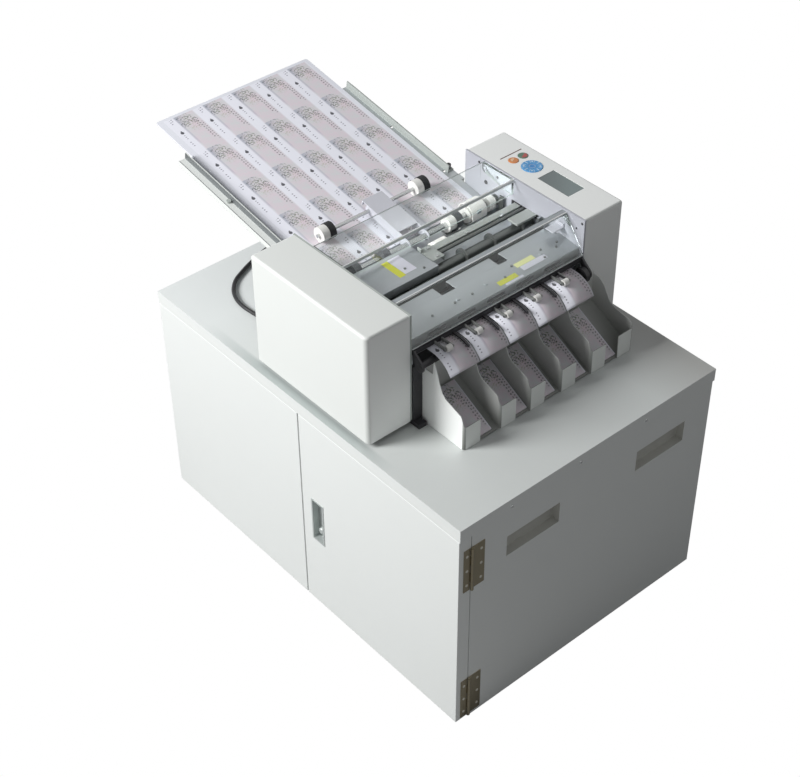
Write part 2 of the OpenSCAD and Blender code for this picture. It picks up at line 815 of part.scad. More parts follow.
module feed_tyres() {
    color([0.3, 0.3, 0.3]) translate([0, feed_y, feed_z]) {
        difference() {
            rod_x(mach_x + 75.5, mach_x + 87.5, 0, 0, feed_tyre_r);
            rod_x(mach_x + 74, mach_x + 89, 0, 0, feed_tyre_r - 4 + bush_play);
        }
        wheel(mach_x - 64.5, mach_x - 52.5, feed_tyre_r, feed_shaft_r);
        wheel(mach_x - 118.5, mach_x - 106.5, feed_tyre_r, feed_shaft_r);
    }
}

// x spans of the lower feed rollers
low_rollers = [for (x = [-124, -70, 62, 100]) [mach_x + x, mach_x + x + 28]];

module lower_feed_shaft() {
    color([0.6, 0.61, 0.6]) {
        rod_x(xl - side_t - shaft_out, xr + side_t + shaft_out, feed_y, low_feed_z, feed_shaft_r);
        for (s = low_rollers) rod_x(s[0], s[1], feed_y, low_feed_z, low_roller_r);
    }
}

module shaft_bushes() {
    color([0.72, 0.6, 0.35]) for (s = shafts) translate([0, s[0], s[1]]) difference() {
        union() {
            rod_x(xl - side_t - 0.5, xl + 1, 0, 0, s[2] + bush_wall - bush_play);
            rod_x(xl + eps, xl + 1, 0, 0, s[2] + bush_wall + 1.2);
            rod_x(xr - 1, xr + side_t + 0.5, 0, 0, s[2] + bush_wall - bush_play);
            rod_x(xr - 1, xr - eps, 0, 0, s[2] + bush_wall + 1.2);
        }
        rod_x(xl - 20, xr + 20, 0, 0, s[2] + fit);
    }
}

module paper_deck() {
    rear0 = guide_y1 + 0.5;
    rear1 = nip_y - 2;
    front0 = yf + 0.5;
    front1 = cut_y - 9;
    ends = 1.4;
    color([0.62, 0.63, 0.63]) {
        difference() {
            block(xl + ends, xr - ends, rear0, rear1, deck_z - deck_t, deck_z);
            // windows of the lower rollers and of the slitting blades
            for (s = low_rollers)
                block(s[0] - 1, s[1] + 1, feed_y - 8, feed_y + 8, deck_z - deck_t - 1, deck_z + 1);
            for (x = blade_xs)
                block(x - 2, x + 2 * blade_t + 1, slit_y - 11, slit_y + 11, deck_z - deck_t - 1, deck_z + 1);
        }
        block(xl + ends, xr - ends, front0, front1, deck_z - deck_t, deck_z);
        // folded ends that hold both halves to the side plates
        for (x = [xl + eps, xr - ends - 1]) {
            block(x, x + ends + 1 - eps, slit_y + 18, feed_y - 18, deck_z - 16, deck_z);
            block(x, x + ends + 1 - eps, front0, front1, deck_z - 16, deck_z);
        }
    }
}

module feed_cover_plate() {
    x1 = mach_x - 32.5;
    y0 = slit_y - 15.5;
    y1 = slit_y + 50;
    zb = path_z + 35;
    t = 1.5;
    color([0.6, 0.61, 0.62]) {
        block(xl, x1, y0, y1, zb, zb + t);
        block(xl, x1, y0 - eps, y0 + t, zb - 12, zb + eps);
        block(x1 - t, x1, y0, y1, zb - 4, zb + eps);
    }
}

// ---- slitting, cutting and exit

module upper_slitter() {
    color([0.7, 0.71, 0.71]) {
        rod_x(xl - side_t - shaft_out, xr + side_t + shaft_out, slit_y, slit_z, slit_shaft_r);
        rod_x(blade_xs[0] - 4, blade_xs[5] + 6, slit_y, slit_z, spacer_r);
        for (x = blade_xs) rod_x(x - blade_t / 2, x + blade_t / 2, slit_y, slit_z, blade_r);
    }
}

module lower_slitter() {
    color([0.66, 0.67, 0.67]) {
        rod_x(xl - side_t - shaft_out, xr + side_t + shaft_out, slit_y, low_slit_z, slit_shaft_r);
        for (x = blade_xs) {
            rod_x(x + blade_t / 2 + seat, x + blade_t * 1.5 + seat, slit_y, low_slit_z, low_blade_r);
            rod_x(x + blade_t * 1.5, x + blade_t * 1.5 + 5, slit_y, low_slit_z, low_blade_r - 4);
        }
    }
}

module slitter_frame() {
    color([0.82, 0.82, 0.84]) {
        block(xl, xr, slit_y + 22, slit_y + 34, path_z + 22.5, path_z + 29.5);
        // block over the end of the slitting shaft
        block(mach_x + 125.5, xr, slit_y - 12, slit_y + 8, path_z + 28, path_z + 31.5);
    }
}

module cut_blade() {
    zb = path_z + blade_up;
    color([0.55, 0.56, 0.57]) translate([0, cut_y + 6, 0]) rotate([90, 0, 0]) linear_extrude(5.8)
        polygon([[xl + 1, zb], [xr - 1, zb + 2.5], [xr - 1, zb + blade_h], [xl + 1, zb + blade_h]]);
}

module cut_bed() {
    guide_l = 8;
    guide_y0 = cut_y - 5;
    color([0.6, 0.61, 0.62]) {
        difference() {
            union() {
                block(xl, xr, cut_y - 8.5, cut_y, path_z - 14.5, deck_z);
                for (x = [xl, xr - guide_l])
                    block(x, x + guide_l, guide_y0, guide_y1, path_z - 14.5, path_z + 34);
            }
            // grooves in which the ends of the blade slide
            block(xl + 0.7, xl + guide_l + 1, cut_y, cut_y + 6.3, path_z - 8, path_z + 35);
            block(xr - guide_l - 1, xr - 0.7, cut_y, cut_y + 6.3, path_z - 8, path_z + 35);
        }
    }
}

module hold_plates() {
    zb = path_z + 21.5;
    color([0.72, 0.73, 0.74]) for (s = [[-153.5, -63.5], [-38.5, 44.5], [62.5, 159.5]]) {
        block(mach_x + s[0], mach_x + s[1], cut_y - 27.5, cut_y - 5.5, zb, zb + 1.5);
        block(mach_x + s[0], mach_x + s[1], cut_y - 7, cut_y - 5.5, zb - 8, zb + eps);
    }
}

module front_plate() {
    yb = cut_y - 27.5;
    zb = path_z + 22;
    color([0.7, 0.71, 0.72]) difference() {
        union() {
            slab_x(xl, xr) polygon([[yb, zb], [yb, zb + 1.5], [yb - 40, zb - 2.5], [yb - 41.5, zb - 2.5],
                [yb - 41.5, zb - 16.5], [yb - 40, zb - 16.5], [yb - 40, zb - 4]]);
            for (x = [-52.5, 0.5, 108.5]) translate([mach_x + x, yb - 19, zb - 1.5])
                cylinder(r = 3, h = 2.6);
        }
        // windows over the lanes in the front face
        for (i = lanes) block(mach_x + i * lane_w - 17, mach_x + i * lane_w + 17, yb - 43, yb - 39,
            zb - 13.5, zb - 8);
    }
}

module exit_rollers() {
    color([0.2, 0.2, 0.21]) {
        rod_x(xl + 0.6, xr - 0.6, exit_y, exit_z, feed_shaft_r);
        for (i = lanes) translate([mach_x + i * lane_w, 0, 0])
            rod_x(-8, 8, exit_y, exit_z, exit_roller_r);
        rod_x(xr - 15, xr - 7.5, exit_y, exit_z, exit_roller_r);
    }
}

module pinch_frame() {
    axle_r = 1.5;
    color([0.3, 0.3, 0.31]) {
        block(xl, xr, yf + 0.2, yf + 3.5, pinch_z - 3, pinch_z + 4);
        block(xl + 1, xr - 1, yf - 2.5, yf + 0.2 + eps, pinch_z - 3, pinch_z + 4);
        for (i = lanes, s = [-1, 1]) translate([mach_x + pinch_dx + i * lane_w + s * 6.5, 0, 0])
            slab_x(-arm_plate_t / 2, arm_plate_t / 2) {
                translate([pinch_y, pinch_z]) circle(2.8);
                translate([pinch_y, pinch_z - 2.2]) square([yf - pinch_y - 2, 4.8]);
            }
        for (i = lanes) translate([mach_x + pinch_dx + i * lane_w, 0, 0])
            rod_x(-9, 9, pinch_y, pinch_z, axle_r);
        // cheeks that carry the exit shaft
        for (x = [xl + 1, xr - 4]) difference() {
            slab_x(x, x + 3) hull() {
                translate([exit_y, exit_z]) circle(cheek_r);
                translate([yf - 2.5, pinch_z - 3]) square([2.7, 7]);
            }
            rod_x(x - 1, x + 4, exit_y, exit_z, feed_shaft_r + fit);
        }
        // curved fingers that hold the cards down between the lanes
        for (i = [-1.5 : 1 : 1.5]) translate([mach_x + finger_dx + i * lane_w, 0, 0])
            slab_x(-1.6, 1.6) finger_2d();
    }
}

// arc just over the bending cards, with a straight root in the pinch frame
module finger_2d() {
    r0 = card_drop_r + card_t + 0.9;
    r1 = r0 + 2.8;
    zc = path_z - card_drop_r;
    polygon([
        [yf - 2, zc + r0], [exit_y, zc + r0],
        for (a = [7 : 7 : 28]) [exit_y - r0 * sin(a), zc + r0 * cos(a)],
        for (a = [26 : -6.5 : 6]) [exit_y - r1 * sin(a), zc + r1 * cos(a)],
        [exit_y, zc + r1], [yf - 2, zc + r1]
    ]);
}

module pinch_rollers() {
    color([0.92, 0.92, 0.9]) for (i = lanes) translate([mach_x + pinch_dx + i * lane_w, pinch_y, pinch_z])
        wheel(-4.5, 4.5, pinch_r, 1.5);
}

// ---- clear covers

module rear_cover() {
    x0 = xl + cover_side;
    x1 = xr - cover_side;
    lug_z0 = rear_pivot_z - 7;
    color([0.8, 0.85, 0.86, 0.5]) difference() {
        union() {
            block(x0, x1, rear_cover_y0, rear_cover_y1, cover_z1 - clear_t, cover_z1);
            block(x0, x1, rear_cover_y0, rear_cover_y0 + clear_t,
                cover_z1 - clear_t - cover_flange_h, cover_z1);
            for (x = [x0, x1 - clear_t]) slab_x(x, x + clear_t) {
                polygon([[rear_cover_y0, cover_z1 - 1], [rear_cover_y0, cover_z1 - clear_t - cover_flange_h],
                    [rear_cover_y0 + 20, cover_z1 - clear_t - cover_flange_h], [rear_pivot_y, lug_z0],
                    [rear_cover_y1, rear_pivot_z], [rear_cover_y1, cover_z1 - 1]]);
                translate([rear_pivot_y, rear_pivot_z]) circle(7);
            }
        }
        rod_x(x0 - 1, x1 + 1, rear_pivot_y, rear_pivot_z, pivot_r + fit);
    }
}

module front_cover() {
    x0 = xl + cover_side;
    x1 = xr - cover_side;
    down = [-cos(front_tilt), -sin(front_tilt)];
    in = [sin(front_tilt), -cos(front_tilt)];
    top = [front_top_y, front_top_z];
    foot = top + front_cover_l * down;
    color([0.8, 0.85, 0.86, 0.5]) difference() {
        union() {
            slab_x(x0, x1) polygon([top, foot, foot + clear_t * in, top + clear_t * in]);
            slab_x(x0, x1) polygon([top, top + [9, 0.5], top + [9, 0.5 - clear_t], top + [0, -clear_t - 1]]);
            for (x = [x0, x1 - clear_t]) slab_x(x, x + clear_t) {
                translate([front_pivot_y, front_pivot_z]) circle(5.5);
                polygon([top, top + [9, 0], [front_pivot_y + 5.5, front_pivot_z],
                    [front_pivot_y, front_pivot_z - 5.5], top + 26 * down]);
            }
        }
        rod_x(x0 - 1, x1 + 1, front_pivot_y, front_pivot_z, pivot_r + fit);
    }
}

// ---- tray and cards

function floor_at(y) = tray_floor_z0 + tray_floor_rise * (y - tray_y1) / (tray_y0 - tray_y1);

// plan of one wall at x = 0: straight, then a round bend into the front lip
module wall_plan() {
    bend_y = tray_y1 + lip_bend;
    steps = [0 : 15 : 90];
    inner = lip_bend - tray_t;
    polygon([
        [0, tray_y0 + eps],
        for (a = steps) [lip_bend - lip_bend * cos(a), bend_y - lip_bend * sin(a)],
        [lip_l, tray_y1], [lip_l, tray_y1 + tray_t],
        for (a = steps) [lip_bend - inner * sin(a), bend_y - inner * cos(a)],
        [tray_t, tray_y0 + eps]
    ]);
}

// wall whose lip points to +X; top_edge holds y and height over side_z, from the rear to the bend
module tray_wall(top_edge) {
    side_z = cab_h + lip_top + 17.5;
    difference() {
        translate([0, 0, tray_floor_z0]) linear_extrude(z0 + 115 - tray_floor_z0) wall_plan();
        slab_x(-1, lip_l + 1) polygon([
            for (p = top_edge) [p[0], side_z + p[1]],
            [tray_y1 + tray_t + 1.5, cab_h + lip_top + 6], [tray_y1 + tray_t, cab_h + lip_top],
            [tray_y1 - 1, cab_h + lip_top], [tray_y1 - 1, z0 + 120], [tray_y0 + 1, z0 + 120]
        ]);
        // rounded top corner at the lip's free end
        translate([lip_l - 2.5, tray_y1 - 1, cab_h + lip_top - 2.5]) rotate([-90, 0, 0]) difference() {
            translate([0, -3.5]) cube([3.5, 3.5, tray_t + 2]);
            translate([0, 0, -1]) cylinder(r = 2.5, h = tray_t + 4);
        }
    }
}

module output_tray() {
    x1 = tray_walls[5];
    floor_y = tray_y1 + tray_t + 0.4;
    color([0.66, 0.67, 0.67]) {
        for (k = [0 : 4]) translate([tray_walls[k], 0, 0]) tray_wall([
            [tray_y0 + 1, 39.5], [exit_y - 10, 39.5], [exit_y - 12, 61.5], [exit_y - 18, 49.5],
            [exit_y - 24, 30], [exit_y - 30, 17], [exit_y - 37, 10.5],
            [tray_y1 + lip_bend + 2.5, 0], [tray_y1 + lip_bend, -3.5]
        ]);
        // end wall, with its lip turned inwards
        translate([x1 + tray_t, 0, 0]) mirror([1, 0, 0]) tray_wall([
            [tray_y0 + 1, 34.5], [exit_y - 2, 33.5], [exit_y - 12, 26.5], [exit_y - 19, 14.5],
            [exit_y - 26, 3.5], [exit_y - 38, -2.5], [tray_y1 + lip_bend + 4, -7],
            [tray_y1 + lip_bend, -9.5]
        ]);
        block(tray_x0, x1 + tray_t, tray_y0, tray_y0 + tray_t, tray_floor_z0, z0 + 88);
        slab_x(tray_x0 + 0.2, x1 + 0.2) polygon([
            [tray_y0 + 0.2, floor_at(tray_y0)], [floor_y, floor_at(floor_y)],
            [floor_y, floor_at(floor_y) + tray_t], [tray_y0 + 0.2, floor_at(tray_y0) + tray_t]
        ]);
    }
}

module card_outline(thick) {
    r = card_drop_r;
    flat = card_l - r * 62 * PI / 180;
    polygon([
        [exit_y + flat, path_z], [exit_y, path_z],
        for (a = [10.333 : 10.333 : 62.01]) [exit_y - r * sin(a), path_z - r + r * cos(a)],
        for (a = [62 : -10.333 : 1]) [exit_y - (r + thick) * sin(a), path_z - r + (r + thick) * cos(a)],
        [exit_y, path_z + thick], [exit_y + flat, path_z + thick]
    ]);
}

module cut_cards() {
    pile_t = 4;
    lean = atan(tray_floor_rise / (tray_y0 - tray_y1));
    back = pile_t * tan(lean);
    foot_y = tray_y1 + tray_t + 1;
    color([0.93, 0.92, 0.95]) for (i = lanes) {
        slab_x(mach_x + i * lane_w - card_w / 2, mach_x + i * lane_w + card_w / 2) card_outline(card_t);
        // pile that lies on the sloping floor of the lane
        lane = min(lane_w, tray_walls[i + 3] - tray_walls[i + 2]);
        translate([tray_walls[i + 2] + (lane + tray_t) / 2, foot_y, floor_at(foot_y) + tray_t + 0.1])
            rotate([lean, 0, 0]) block(-card_w / 2, card_w / 2, back, card_l + back, 0, pile_t);
    }
}

// ---- drive and mains lead

module drive_motor() {
    plate_x = gear_x1 - gear_l - 3;
    color([0.25, 0.25, 0.26]) {
        difference() {
            union() {
                rod_x(plate_x - 46, plate_x, motor_y, motor_z, motor_r);
                block(plate_x - 2, plate_x, motor_y - 24, motor_y + 24, plate_z0, motor_z + 10);
                block(plate_x - 20, plate_x, motor_y - 24, motor_y + 24, plate_z0, plate_z0 + 2);
            }
            rod_x(plate_x - 30, plate_x + 1, motor_y, motor_z, 3 + fit);
        }
    }
}

module motor_pinion() {
    color([0.8, 0.72, 0.4]) {
        rod_x(gear_x1 - gear_l, gear_x1, motor_y, motor_z, pinion_r);
        rod_x(gear_x1 - gear_l - 3 - 25, gear_x1 - 1, motor_y, motor_z, 3);
    }
}

module strain_relief() {
    color([0.12, 0.12, 0.12]) translate([relief_x, yr - shell_t - 3, relief_z]) rotate([-90, 0, 0]) {
        cylinder(r = relief_r, h = shell_t + 3 + 0.2);
        translate([0, 0, 0]) cylinder(r = relief_r + 2, h = 2.9);
        translate([0, 0, shell_t + 3.1]) cylinder(r1 = relief_r + 2, r2 = cord_r + 1.2, h = relief_l - 0.1);
    }
}

function unit(v) = v / norm(v);

// ring of points round a centre, square to the direction of the lead
function ring(p, dir, sides) =
    let (side = unit(cross(dir, [0, 0, 1])), up = cross(side, dir))
    [for (k = [0 : sides - 1]) p + cord_r * (cos(k * 360 / sides) * side + sin(k * 360 / sides) * up)];

module tube(path, first_dir, last_dir, sides) {
    n = len(path);
    dirs = [for (i = [0 : n - 1])
        i == 0 ? first_dir : i == n - 1 ? last_dir : unit(path[i + 1] - path[i - 1])];
    pts = [for (i = [0 : n - 1]) each ring(path[i], dirs[i], sides)];
    walls = [for (i = [0 : n - 2], k = [0 : sides - 1]) let (k1 = (k + 1) % sides)
        [i * sides + k, i * sides + k1, (i + 1) * sides + k1, (i + 1) * sides + k]];
    polyhedron(points = pts, faces = [
        [for (k = [sides - 1 : -1 : 0]) k],
        each walls,
        [for (k = [0 : sides - 1]) (n - 1) * sides + k]
    ]);
}

module power_cord() {
    color([0.13, 0.13, 0.13]) tube(cord_route, [0, 1, 0], [1, 0, 0], cord_sides);
}

coil_total = 2 * coil_turns;
coil_steps = coil_total * coil_rings;
coil_path = [for (k = [0 : coil_steps])
    let (t = k / coil_rings, a = 90 - 360 * t, r = coil_r_in + coil_pitch * abs(coil_turns - t),
        climb = min(1, max(0, (t - coil_turns + coil_climb / 720) * 360 / coil_climb)))
    [coil_x + r * cos(a), coil_y + r * sin(a), cord_z + climb * coil_pitch]];
coil_gap = min([for (i = [0 : coil_steps], j = [i + 12 : coil_steps]) norm(coil_path[i] - coil_path[j])])
    - cord_d;
coil_len = sum_len(coil_path);
route_len = sum_len(cord_route);
function sum_len(p, i = 1) = i >= len(p) ? 0 : norm(p[i] - p[i - 1]) + sum_len(p, i + 1);
echo(least_gap_in_coil = coil_gap, lead_length = route_len + coil_len + coil_tail);

module cord_coil() {
    end = [coil_x, coil_y + coil_r_out, cord_z + coil_pitch];
    path = [for (k = [0 : coil_steps - 1]) coil_path[k], for (d = [0, 0.5, 1]) end + [d * coil_tail, 0, 0]];
    color([0.13, 0.13, 0.13]) tube(path, [1, 0, 0], [1, 0, 0], 6);
}

module power_plug() {
    hz = cord_z + coil_pitch - cab_h;
    x0 = coil_x + coil_tail;
    color([0.12, 0.12, 0.12]) translate([x0, coil_y + coil_r_out, cab_h + hz]) {
        rotate([0, 90, 0]) cylinder(r1 = cord_r + 1, r2 = 8, h = 16);
        block(15, 38, -10, 10, -hz + 0.01, hz);
        for (s = [-1, 1]) rotate([0, 90, 0]) translate([0, s * 6, 37]) cylinder(r = 2, h = 19);
    }
}

cabinet_body();
cabinet_top();
near_door();
far_door();
hinge_frame_leaves();
near_hinge_leaves();
far_hinge_leaves();
hinge_pins();
door_handle();
handle_latch();
rubber_feet();
base_pan();
left_side_plate();
right_side_plate();
left_housing();
right_housing();
tie_rods();
display_window();
control_board();
start_button();
stop_button();
arrow_pad();
ok_button();
feed_table();
left_guide_rail();
right_guide_rail();
left_rail_screws();
right_rail_screws();
sheet_stack();
pickup_arm();
pickup_shaft();
pickup_hubs();
pickup_tyres();
feed_shaft();
feed_hubs();
feed_tyres();
lower_feed_shaft();
shaft_bushes();
paper_deck();
feed_cover_plate();
upper_slitter();
lower_slitter();
slitter_frame();
cut_blade();
cut_bed();
hold_plates();
front_plate();
exit_rollers();
pinch_frame();
pinch_rollers();
rear_cover();
front_cover();
output_tray();
cut_cards();
drive_motor();
motor_pinion();
strain_relief();
power_cord();
cord_coil();
power_plug();
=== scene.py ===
import json
import math

import bmesh
import bpy
from mathutils import Matrix, Vector
from mathutils.bvhtree import BVHTree


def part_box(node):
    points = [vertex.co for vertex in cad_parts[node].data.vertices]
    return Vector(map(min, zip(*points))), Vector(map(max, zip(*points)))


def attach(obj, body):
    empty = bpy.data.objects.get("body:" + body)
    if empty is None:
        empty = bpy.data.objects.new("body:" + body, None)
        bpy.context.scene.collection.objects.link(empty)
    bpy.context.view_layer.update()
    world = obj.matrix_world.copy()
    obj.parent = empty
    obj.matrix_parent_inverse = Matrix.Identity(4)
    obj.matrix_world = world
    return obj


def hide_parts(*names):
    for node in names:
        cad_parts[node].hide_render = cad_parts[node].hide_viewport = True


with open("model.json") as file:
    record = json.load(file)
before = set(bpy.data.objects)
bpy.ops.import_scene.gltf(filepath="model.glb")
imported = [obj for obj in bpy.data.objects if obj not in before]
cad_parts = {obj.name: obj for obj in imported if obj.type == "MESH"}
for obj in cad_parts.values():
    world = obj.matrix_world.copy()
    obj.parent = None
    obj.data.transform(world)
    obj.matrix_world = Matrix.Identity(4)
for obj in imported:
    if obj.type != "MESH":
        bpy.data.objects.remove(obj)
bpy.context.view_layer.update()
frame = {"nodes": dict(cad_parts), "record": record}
nodes = frame["nodes"]
print("frame loaded:", len(nodes), "CAD nodes")

# camera

camera = {
    "place": (-1.33372, -1.49424, 1.99697),
    "azimuth": -40.50,
    "elevation": 40.57,
    "roll": -0.58,
    "lens": 76.615,
}


def makeCamera():
    data = bpy.data.cameras.new("camera")
    data.lens = camera["lens"]
    data.sensor_width = 36
    data.sensor_fit = "HORIZONTAL"
    data.clip_start = 0.05
    data.clip_end = 60
    obj = bpy.data.objects.new("camera", data)
    bpy.context.scene.collection.objects.link(obj)
    turn = (
        Matrix.Rotation(math.radians(camera["azimuth"]), 4, "Z")
        @ Matrix.Rotation(math.radians(90 - camera["elevation"]), 4, "X")
        @ Matrix.Rotation(math.radians(camera["roll"]), 4, "Z")
    )
    obj.matrix_world = Matrix.Translation(camera["place"]) @ turn
    bpy.context.scene.camera = obj


makeCamera()

# shared helpers


def newPiece(name, bm, body, material, smooth=False):
    mesh = bpy.data.meshes.new(name)
    bm.normal_update()
    bm.to_mesh(mesh)
    bm.free()
    for face in mesh.polygons:
        face.use_smooth = smooth
    obj = bpy.data.objects.new(name, mesh)
    bpy.context.scene.collection.objects.link(obj)
    mesh.materials.append(material)
    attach(obj, body)
    return obj


def bodyOf(node):
    for body, members in frame["record"]["behaviour"]["bodies"].items():
        if node in members:
            return body
    return "machine"


def slotOf(node):
    for part in frame["record"]["subparts"]:
        if part["node"] == node:
            return part["material_slot"]


def copyOf(node):
    # the node's mesh with its triangles joined into whole faces
    bm = bmesh.new()
    bm.from_mesh(nodes[node].data)
    bmesh.ops.remove_doubles(bm, verts=bm.verts, dist=0.000002)
    bmesh.ops.dissolve_limit(bm, angle_limit=math.radians(1), verts=bm.verts, edges=bm.edges)
    return bm


def breakEdges(bm, width, sharp=40, segments=2):
    # the small radius that a real edge has, which catches the light
    edges = [e for e in bm.edges if len(e.link_faces) == 2 and e.calc_face_angle(0) > math.radians(sharp)]
    bmesh.ops.bevel(bm, geom=edges, offset=width, offset_type="OFFSET", affect="EDGES", segments=segments,
                    profile=0.5, material=-1, clamp_overlap=True, loop_slide=True)


def spin(bm, verts, angle, axis):
    bmesh.ops.rotate(bm, verts=verts, cent=(0, 0, 0), matrix=Matrix.Rotation(angle, 3, axis))


def smoothByAngle(obj, angle=35):
    for face in obj.data.polygons:
        face.use_smooth = True
    obj.data.set_sharp_from_angle(angle=math.radians(angle))
    even = obj.modifiers.new("even", "WEIGHTED_NORMAL")
    even.keep_sharp = True


def finishFaces(obj, finish, choose):
    # the faces that choose(centre, normal) picks get a finish of their own
    obj.data.materials.append(finishes[finish])
    index = len(obj.data.materials) - 1
    for face in obj.data.polygons:
        if choose(face.center, face.normal):
            face.material_index = index


def dressNode(node, width, reshape=None):
    bm = copyOf(node)
    if reshape:
        reshape(bm)
    breakEdges(bm, width)
    obj = newPiece(node + "_dressed", bm, bodyOf(node), nodes[node].data.materials[0])
    smoothByAngle(obj)
    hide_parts(node)
    return obj


# node groups shared by the materials

socketKinds = {"Vector": "NodeSocketVector", "Normal": "NodeSocketVector", "Color": "NodeSocketColor"}


def newGroup(name, inputs, outputs):
    group = bpy.data.node_groups.new(name, "ShaderNodeTree")
    for way, labels in (("INPUT", inputs), ("OUTPUT", outputs)):
        for label in labels.split():
            kind = socketKinds.get(label, "NodeSocketFloat")
            group.interface.new_socket(label, in_out=way, socket_type=kind)
    start = group.nodes.new("NodeGroupInput")
    end = group.nodes.new("NodeGroupOutput")
    return group, start.outputs, end


def plug(tree, socket, value):
    # another node's output goes in as a link, and anything else as the socket's own value
    if isinstance(value, bpy.types.NodeSocket):
        tree.links.new(value, socket)
    elif isinstance(value, tuple) and socket.type == "RGBA":
        socket.default_value = (*value, 1)
    else:
        socket.default_value = value


def plugAll(tree, node, values):
    for label, value in values.items():
        plug(tree, node.inputs[label], value)


def addMath(tree, operation, first, second=None, third=None, clamp=False):
    node = tree.nodes.new("ShaderNodeMath")
    node.operation = operation
    node.use_clamp = clamp
    for slot, value in enumerate((first, second, third)):
        if value is not None:
            plug(tree, node.inputs[slot], value)
    return node.outputs[0]


def addRamp(tree, value, slope, start, clamp=False):
    return addMath(tree, "MULTIPLY_ADD", value, slope, start, clamp)


def addMix(tree, factor, first, second):
    node = tree.nodes.new("ShaderNodeMix")
    node.data_type = "RGBA"
    for slot, value in ((0, factor), (6, first), (7, second)):
        plug(tree, node.inputs[slot], value)
    return node.outputs[2]


def addNoise(tree, vector, scale, detail=3.0, rough=0.5):
    node = tree.nodes.new("ShaderNodeTexNoise")
    plugAll(tree, node, {"Vector": vector, "Scale": scale, "Detail": detail, "Roughness": rough})
    return node.outputs["Fac"]


def addBump(tree, height, strength, distance):
    node = tree.nodes.new("ShaderNodeBump")
    plugAll(tree, node, {"Height": height, "Strength": strength, "Distance": distance})
    return node.outputs["Normal"]


def addTone(tree, color, value):
    node = tree.nodes.new("ShaderNodeHueSaturation")
    plugAll(tree, node, {"Color": color, "Value": value})
    return node.outputs["Color"]


def addSplit(tree, vector):
    node = tree.nodes.new("ShaderNodeSeparateXYZ")
    plug(tree, node.inputs["Vector"], vector)
    return node.outputs


def addGroup(tree, group, values):
    node = tree.nodes.new("ShaderNodeGroup")
    node.node_tree = group
    plugAll(tree, node, values)
    return node.outputs


def makeSkinGroup():
    # fine peel of powder coat and of moulded plastic, with a slow drift of tone
    group, start, end = newGroup(
        "moulded_or_coated_skin", "Vector Color Roughness Grain Depth Drift", "Color Roughness Normal",
    )
    vector = start["Vector"]
    fine = addNoise(group, vector, start["Grain"], 2, 0.6)
    slow = addNoise(group, vector, 4.0, 4, 0.6)
    scuff = addNoise(group, vector, 37.0, 6, 0.7)
    tone = addMath(group, "SUBTRACT", slow, 0.5)
    tone = addMath(group, "MULTIPLY", tone, start["Drift"])
    tone = addMath(group, "ADD", tone, 1.0)
    rough = addMath(group, "SUBTRACT", scuff, 0.5)
    rough = addMath(group, "MULTIPLY", rough, 0.16)
    plugAll(group, end, {
        "Color": addTone(group, start["Color"], tone),
        "Roughness": addMath(group, "ADD", rough, start["Roughness"], clamp=True),
        "Normal": addBump(group, fine, start["Depth"], 0.0002),
    })
    return group


def makeBrushedGroup():
    # drawn or ground lines on bare metal: Vector is squeezed along the lines first
    group, start, end = newGroup(
        "ground_lines", "Vector Color Roughness Lines Depth", "Color Roughness Normal",
    )
    vector = start["Vector"]
    lines = addNoise(group, vector, start["Lines"], 3, 0.7)
    cloud = addNoise(group, vector, 11.0, 5, 0.65)
    tone = addRamp(group, lines, 0.12, 0.94)
    tone = addMath(group, "MULTIPLY", tone, addRamp(group, cloud, 0.16, 0.92))
    rough = addRamp(group, cloud, 0.25, -0.12)
    plugAll(group, end, {
        "Color": addTone(group, start["Color"], tone),
        "Roughness": addMath(group, "ADD", rough, start["Roughness"], clamp=True),
        "Normal": addBump(group, lines, start["Depth"], 0.0001),
    })
    return group


cardPrint = {  # millimetres on one card
    "arcs": ((32, 76, 12, 5.2), (26, 64, 8, 4.6), (43, 68, 8, 4.4)),
    "signs": ((42.5, 48, 70, 4.6, 0.6), (47, 14, 64, 5.4, 0.8), (51.2, 8, 58, 4.7, 0.72)),
    "marks": ((12.5, 77, 88, 4.4), (8.5, 74, 84, 4.6), (8.5, 34, 44, 4.2), (7.5, 15, 29, 4.8)),
    "dots": ((9, 50, 2.9, 0.35, 0.92), (9.3, 53.6, 1.4, 0.3, 0.85)),
    "halfColumn": 1.2,
}


